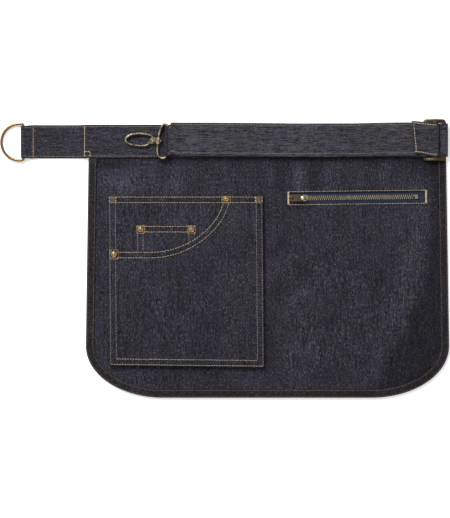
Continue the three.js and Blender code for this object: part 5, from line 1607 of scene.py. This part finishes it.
def make_stage():
    """The paper, the softbox, the world and the camera straight above."""
    bm = bmesh.new()
    bmesh.ops.create_grid(bm, x_segments=1, y_segments=1, size=2.5)
    mesh = bpy.data.meshes.new("paper_sweep")
    bmesh.ops.translate(bm, verts=bm.verts, vec=(0, 0, -0.1 * MM))
    bm.to_mesh(mesh)
    bm.free()
    mesh.materials.append(material("paper_sweep"))
    floor = add_object("paper_sweep", mesh)

    world = bpy.data.worlds.new("Studio")
    world.use_nodes = True
    # A bright ceiling and dim walls, so that metal has dark flanks
    tree = world.node_tree
    background = tree.nodes["Background"]
    height = add_node(tree, "SeparateXYZ", {}, {0: add_node(tree, "TexCoord", output="Generated")}, "Z")
    strength = add_node(tree, "MapRange", {1: 0.15, 2: 0.9, 3: 0.1, 4: 0.8}, {0: height})
    tree.links.new(strength, background.inputs["Strength"])
    background.inputs["Color"].default_value = (1, 1, 1, 1)
    bpy.context.scene.world = world
    softbox = bpy.data.lights.new("key_softbox", "AREA")
    softbox.energy = LIGHT_WATTS
    softbox.shape, softbox.size, softbox.size_y = "RECTANGLE", LIGHT_W, LIGHT_W
    light = add_object("key_softbox", softbox)
    light.location = LIGHT_PLACE
    light.rotation_euler = (-light.location).to_track_quat("-Z", "Y").to_euler()

    camera = bpy.data.cameras.new("overhead")
    camera.lens, camera.sensor_width, camera.sensor_fit = LENS, SENSOR, "AUTO"
    view = add_object("overhead", camera)
    view.location = CAMERA_PLACE
    bpy.context.scene.camera = view
    bpy.context.scene.view_settings.view_transform = "Standard"


# Tools of the add-on

class APRON_OT_stage(bpy.types.Operator):
    """Lay out the paper, the lights and the overhead camera"""
    bl_idname = "apron.stage"
    bl_label = "Set the stage"

    def execute(self, context):
        make_stage()
        return {"FINISHED"}


class APRON_OT_panel(bpy.types.Operator):
    """Cut the denim panel, with the window for the zip"""
    bl_idname = "apron.panel"
    bl_label = "Cut the panel"

    def execute(self, context):
        make_panel()
        return {"FINISHED"}


class APRON_OT_hem(bpy.types.Operator):
    """Fold and sew the hem along the sides and the bottom"""
    bl_idname = "apron.hem"
    bl_label = "Fold the hem"

    def execute(self, context):
        make_edge()
        return {"FINISHED"}


class APRON_OT_belt(bpy.types.Operator):
    """Sew the belt along the panel's top, and the strap that goes on from it"""
    bl_idname = "apron.belt"
    bl_label = "Sew the belt and strap"

    def execute(self, context):
        make_waist_belt()
        make_adjust_strap()
        make_ring_strap()
        return {"FINISHED"}


class APRON_OT_pocket(bpy.types.Operator):
    """Sew the patch pocket with its scooped mouth and small inner pocket"""
    bl_idname = "apron.pocket"
    bl_label = "Sew the pocket"

    def execute(self, context):
        make_pocket()
        sew_pocket()
        return {"FINISHED"}


class APRON_OT_rivets(bpy.types.Operator):
    """Set the four cap rivets with their squares of thread"""
    bl_idname = "apron.rivets"
    bl_label = "Set the rivets"

    def execute(self, context):
        make_rivets()
        return {"FINISHED"}


class APRON_OT_hardware(bpy.types.Operator):
    """Bend the ring and the snap hook and cast the three-bar slider"""
    bl_idname = "apron.hardware"
    bl_label = "Make the hardware"

    def execute(self, context):
        make_ring()
        make_slider()
        make_loop()
        make_hook()
        make_latch()
        return {"FINISHED"}


class APRON_OT_zip(bpy.types.Operator):
    """Fit the zip with its runner, tab and stop, and hang the bag behind it"""
    bl_idname = "apron.zip"
    bl_label = "Fit the zip"

    def execute(self, context):
        make_tapes()
        make_teeth()
        make_runner()
        make_pull()
        sew_zip()
        make_bag()
        return {"FINISHED"}


class APRON_PT_tools(bpy.types.Panel):
    bl_idname = "APRON_PT_tools"
    bl_label = "Denim waist apron"
    bl_space_type = "VIEW_3D"
    bl_region_type = "UI"
    bl_category = "Apron"

    def draw(self, context):
        for group in (context.scene.apron_sizes, context.scene.apron_colours):
            column = self.layout.column()
            for key in group.__annotations__:
                column.prop(group, key)
        for tool in TOOLS:
            self.layout.operator(tool.bl_idname)


TOOLS = (APRON_OT_stage, APRON_OT_panel, APRON_OT_hem, APRON_OT_belt, APRON_OT_pocket, APRON_OT_rivets,
         APRON_OT_hardware, APRON_OT_zip)
CLASSES = (ApronSizes, ApronColours) + TOOLS + (APRON_PT_tools,)


def register():
    for cls in CLASSES:
        bpy.utils.register_class(cls)
    bpy.types.Scene.apron_sizes = PointerProperty(type=ApronSizes)
    bpy.types.Scene.apron_colours = PointerProperty(type=ApronColours)


def unregister():
    del bpy.types.Scene.apron_sizes
    del bpy.types.Scene.apron_colours
    for cls in reversed(CLASSES):
        bpy.utils.unregister_class(cls)


def main():
    register()
    for tool in TOOLS:
        getattr(bpy.ops.apron, tool.bl_idname.split(".")[1])()


if __name__ == "__main__":
    main()
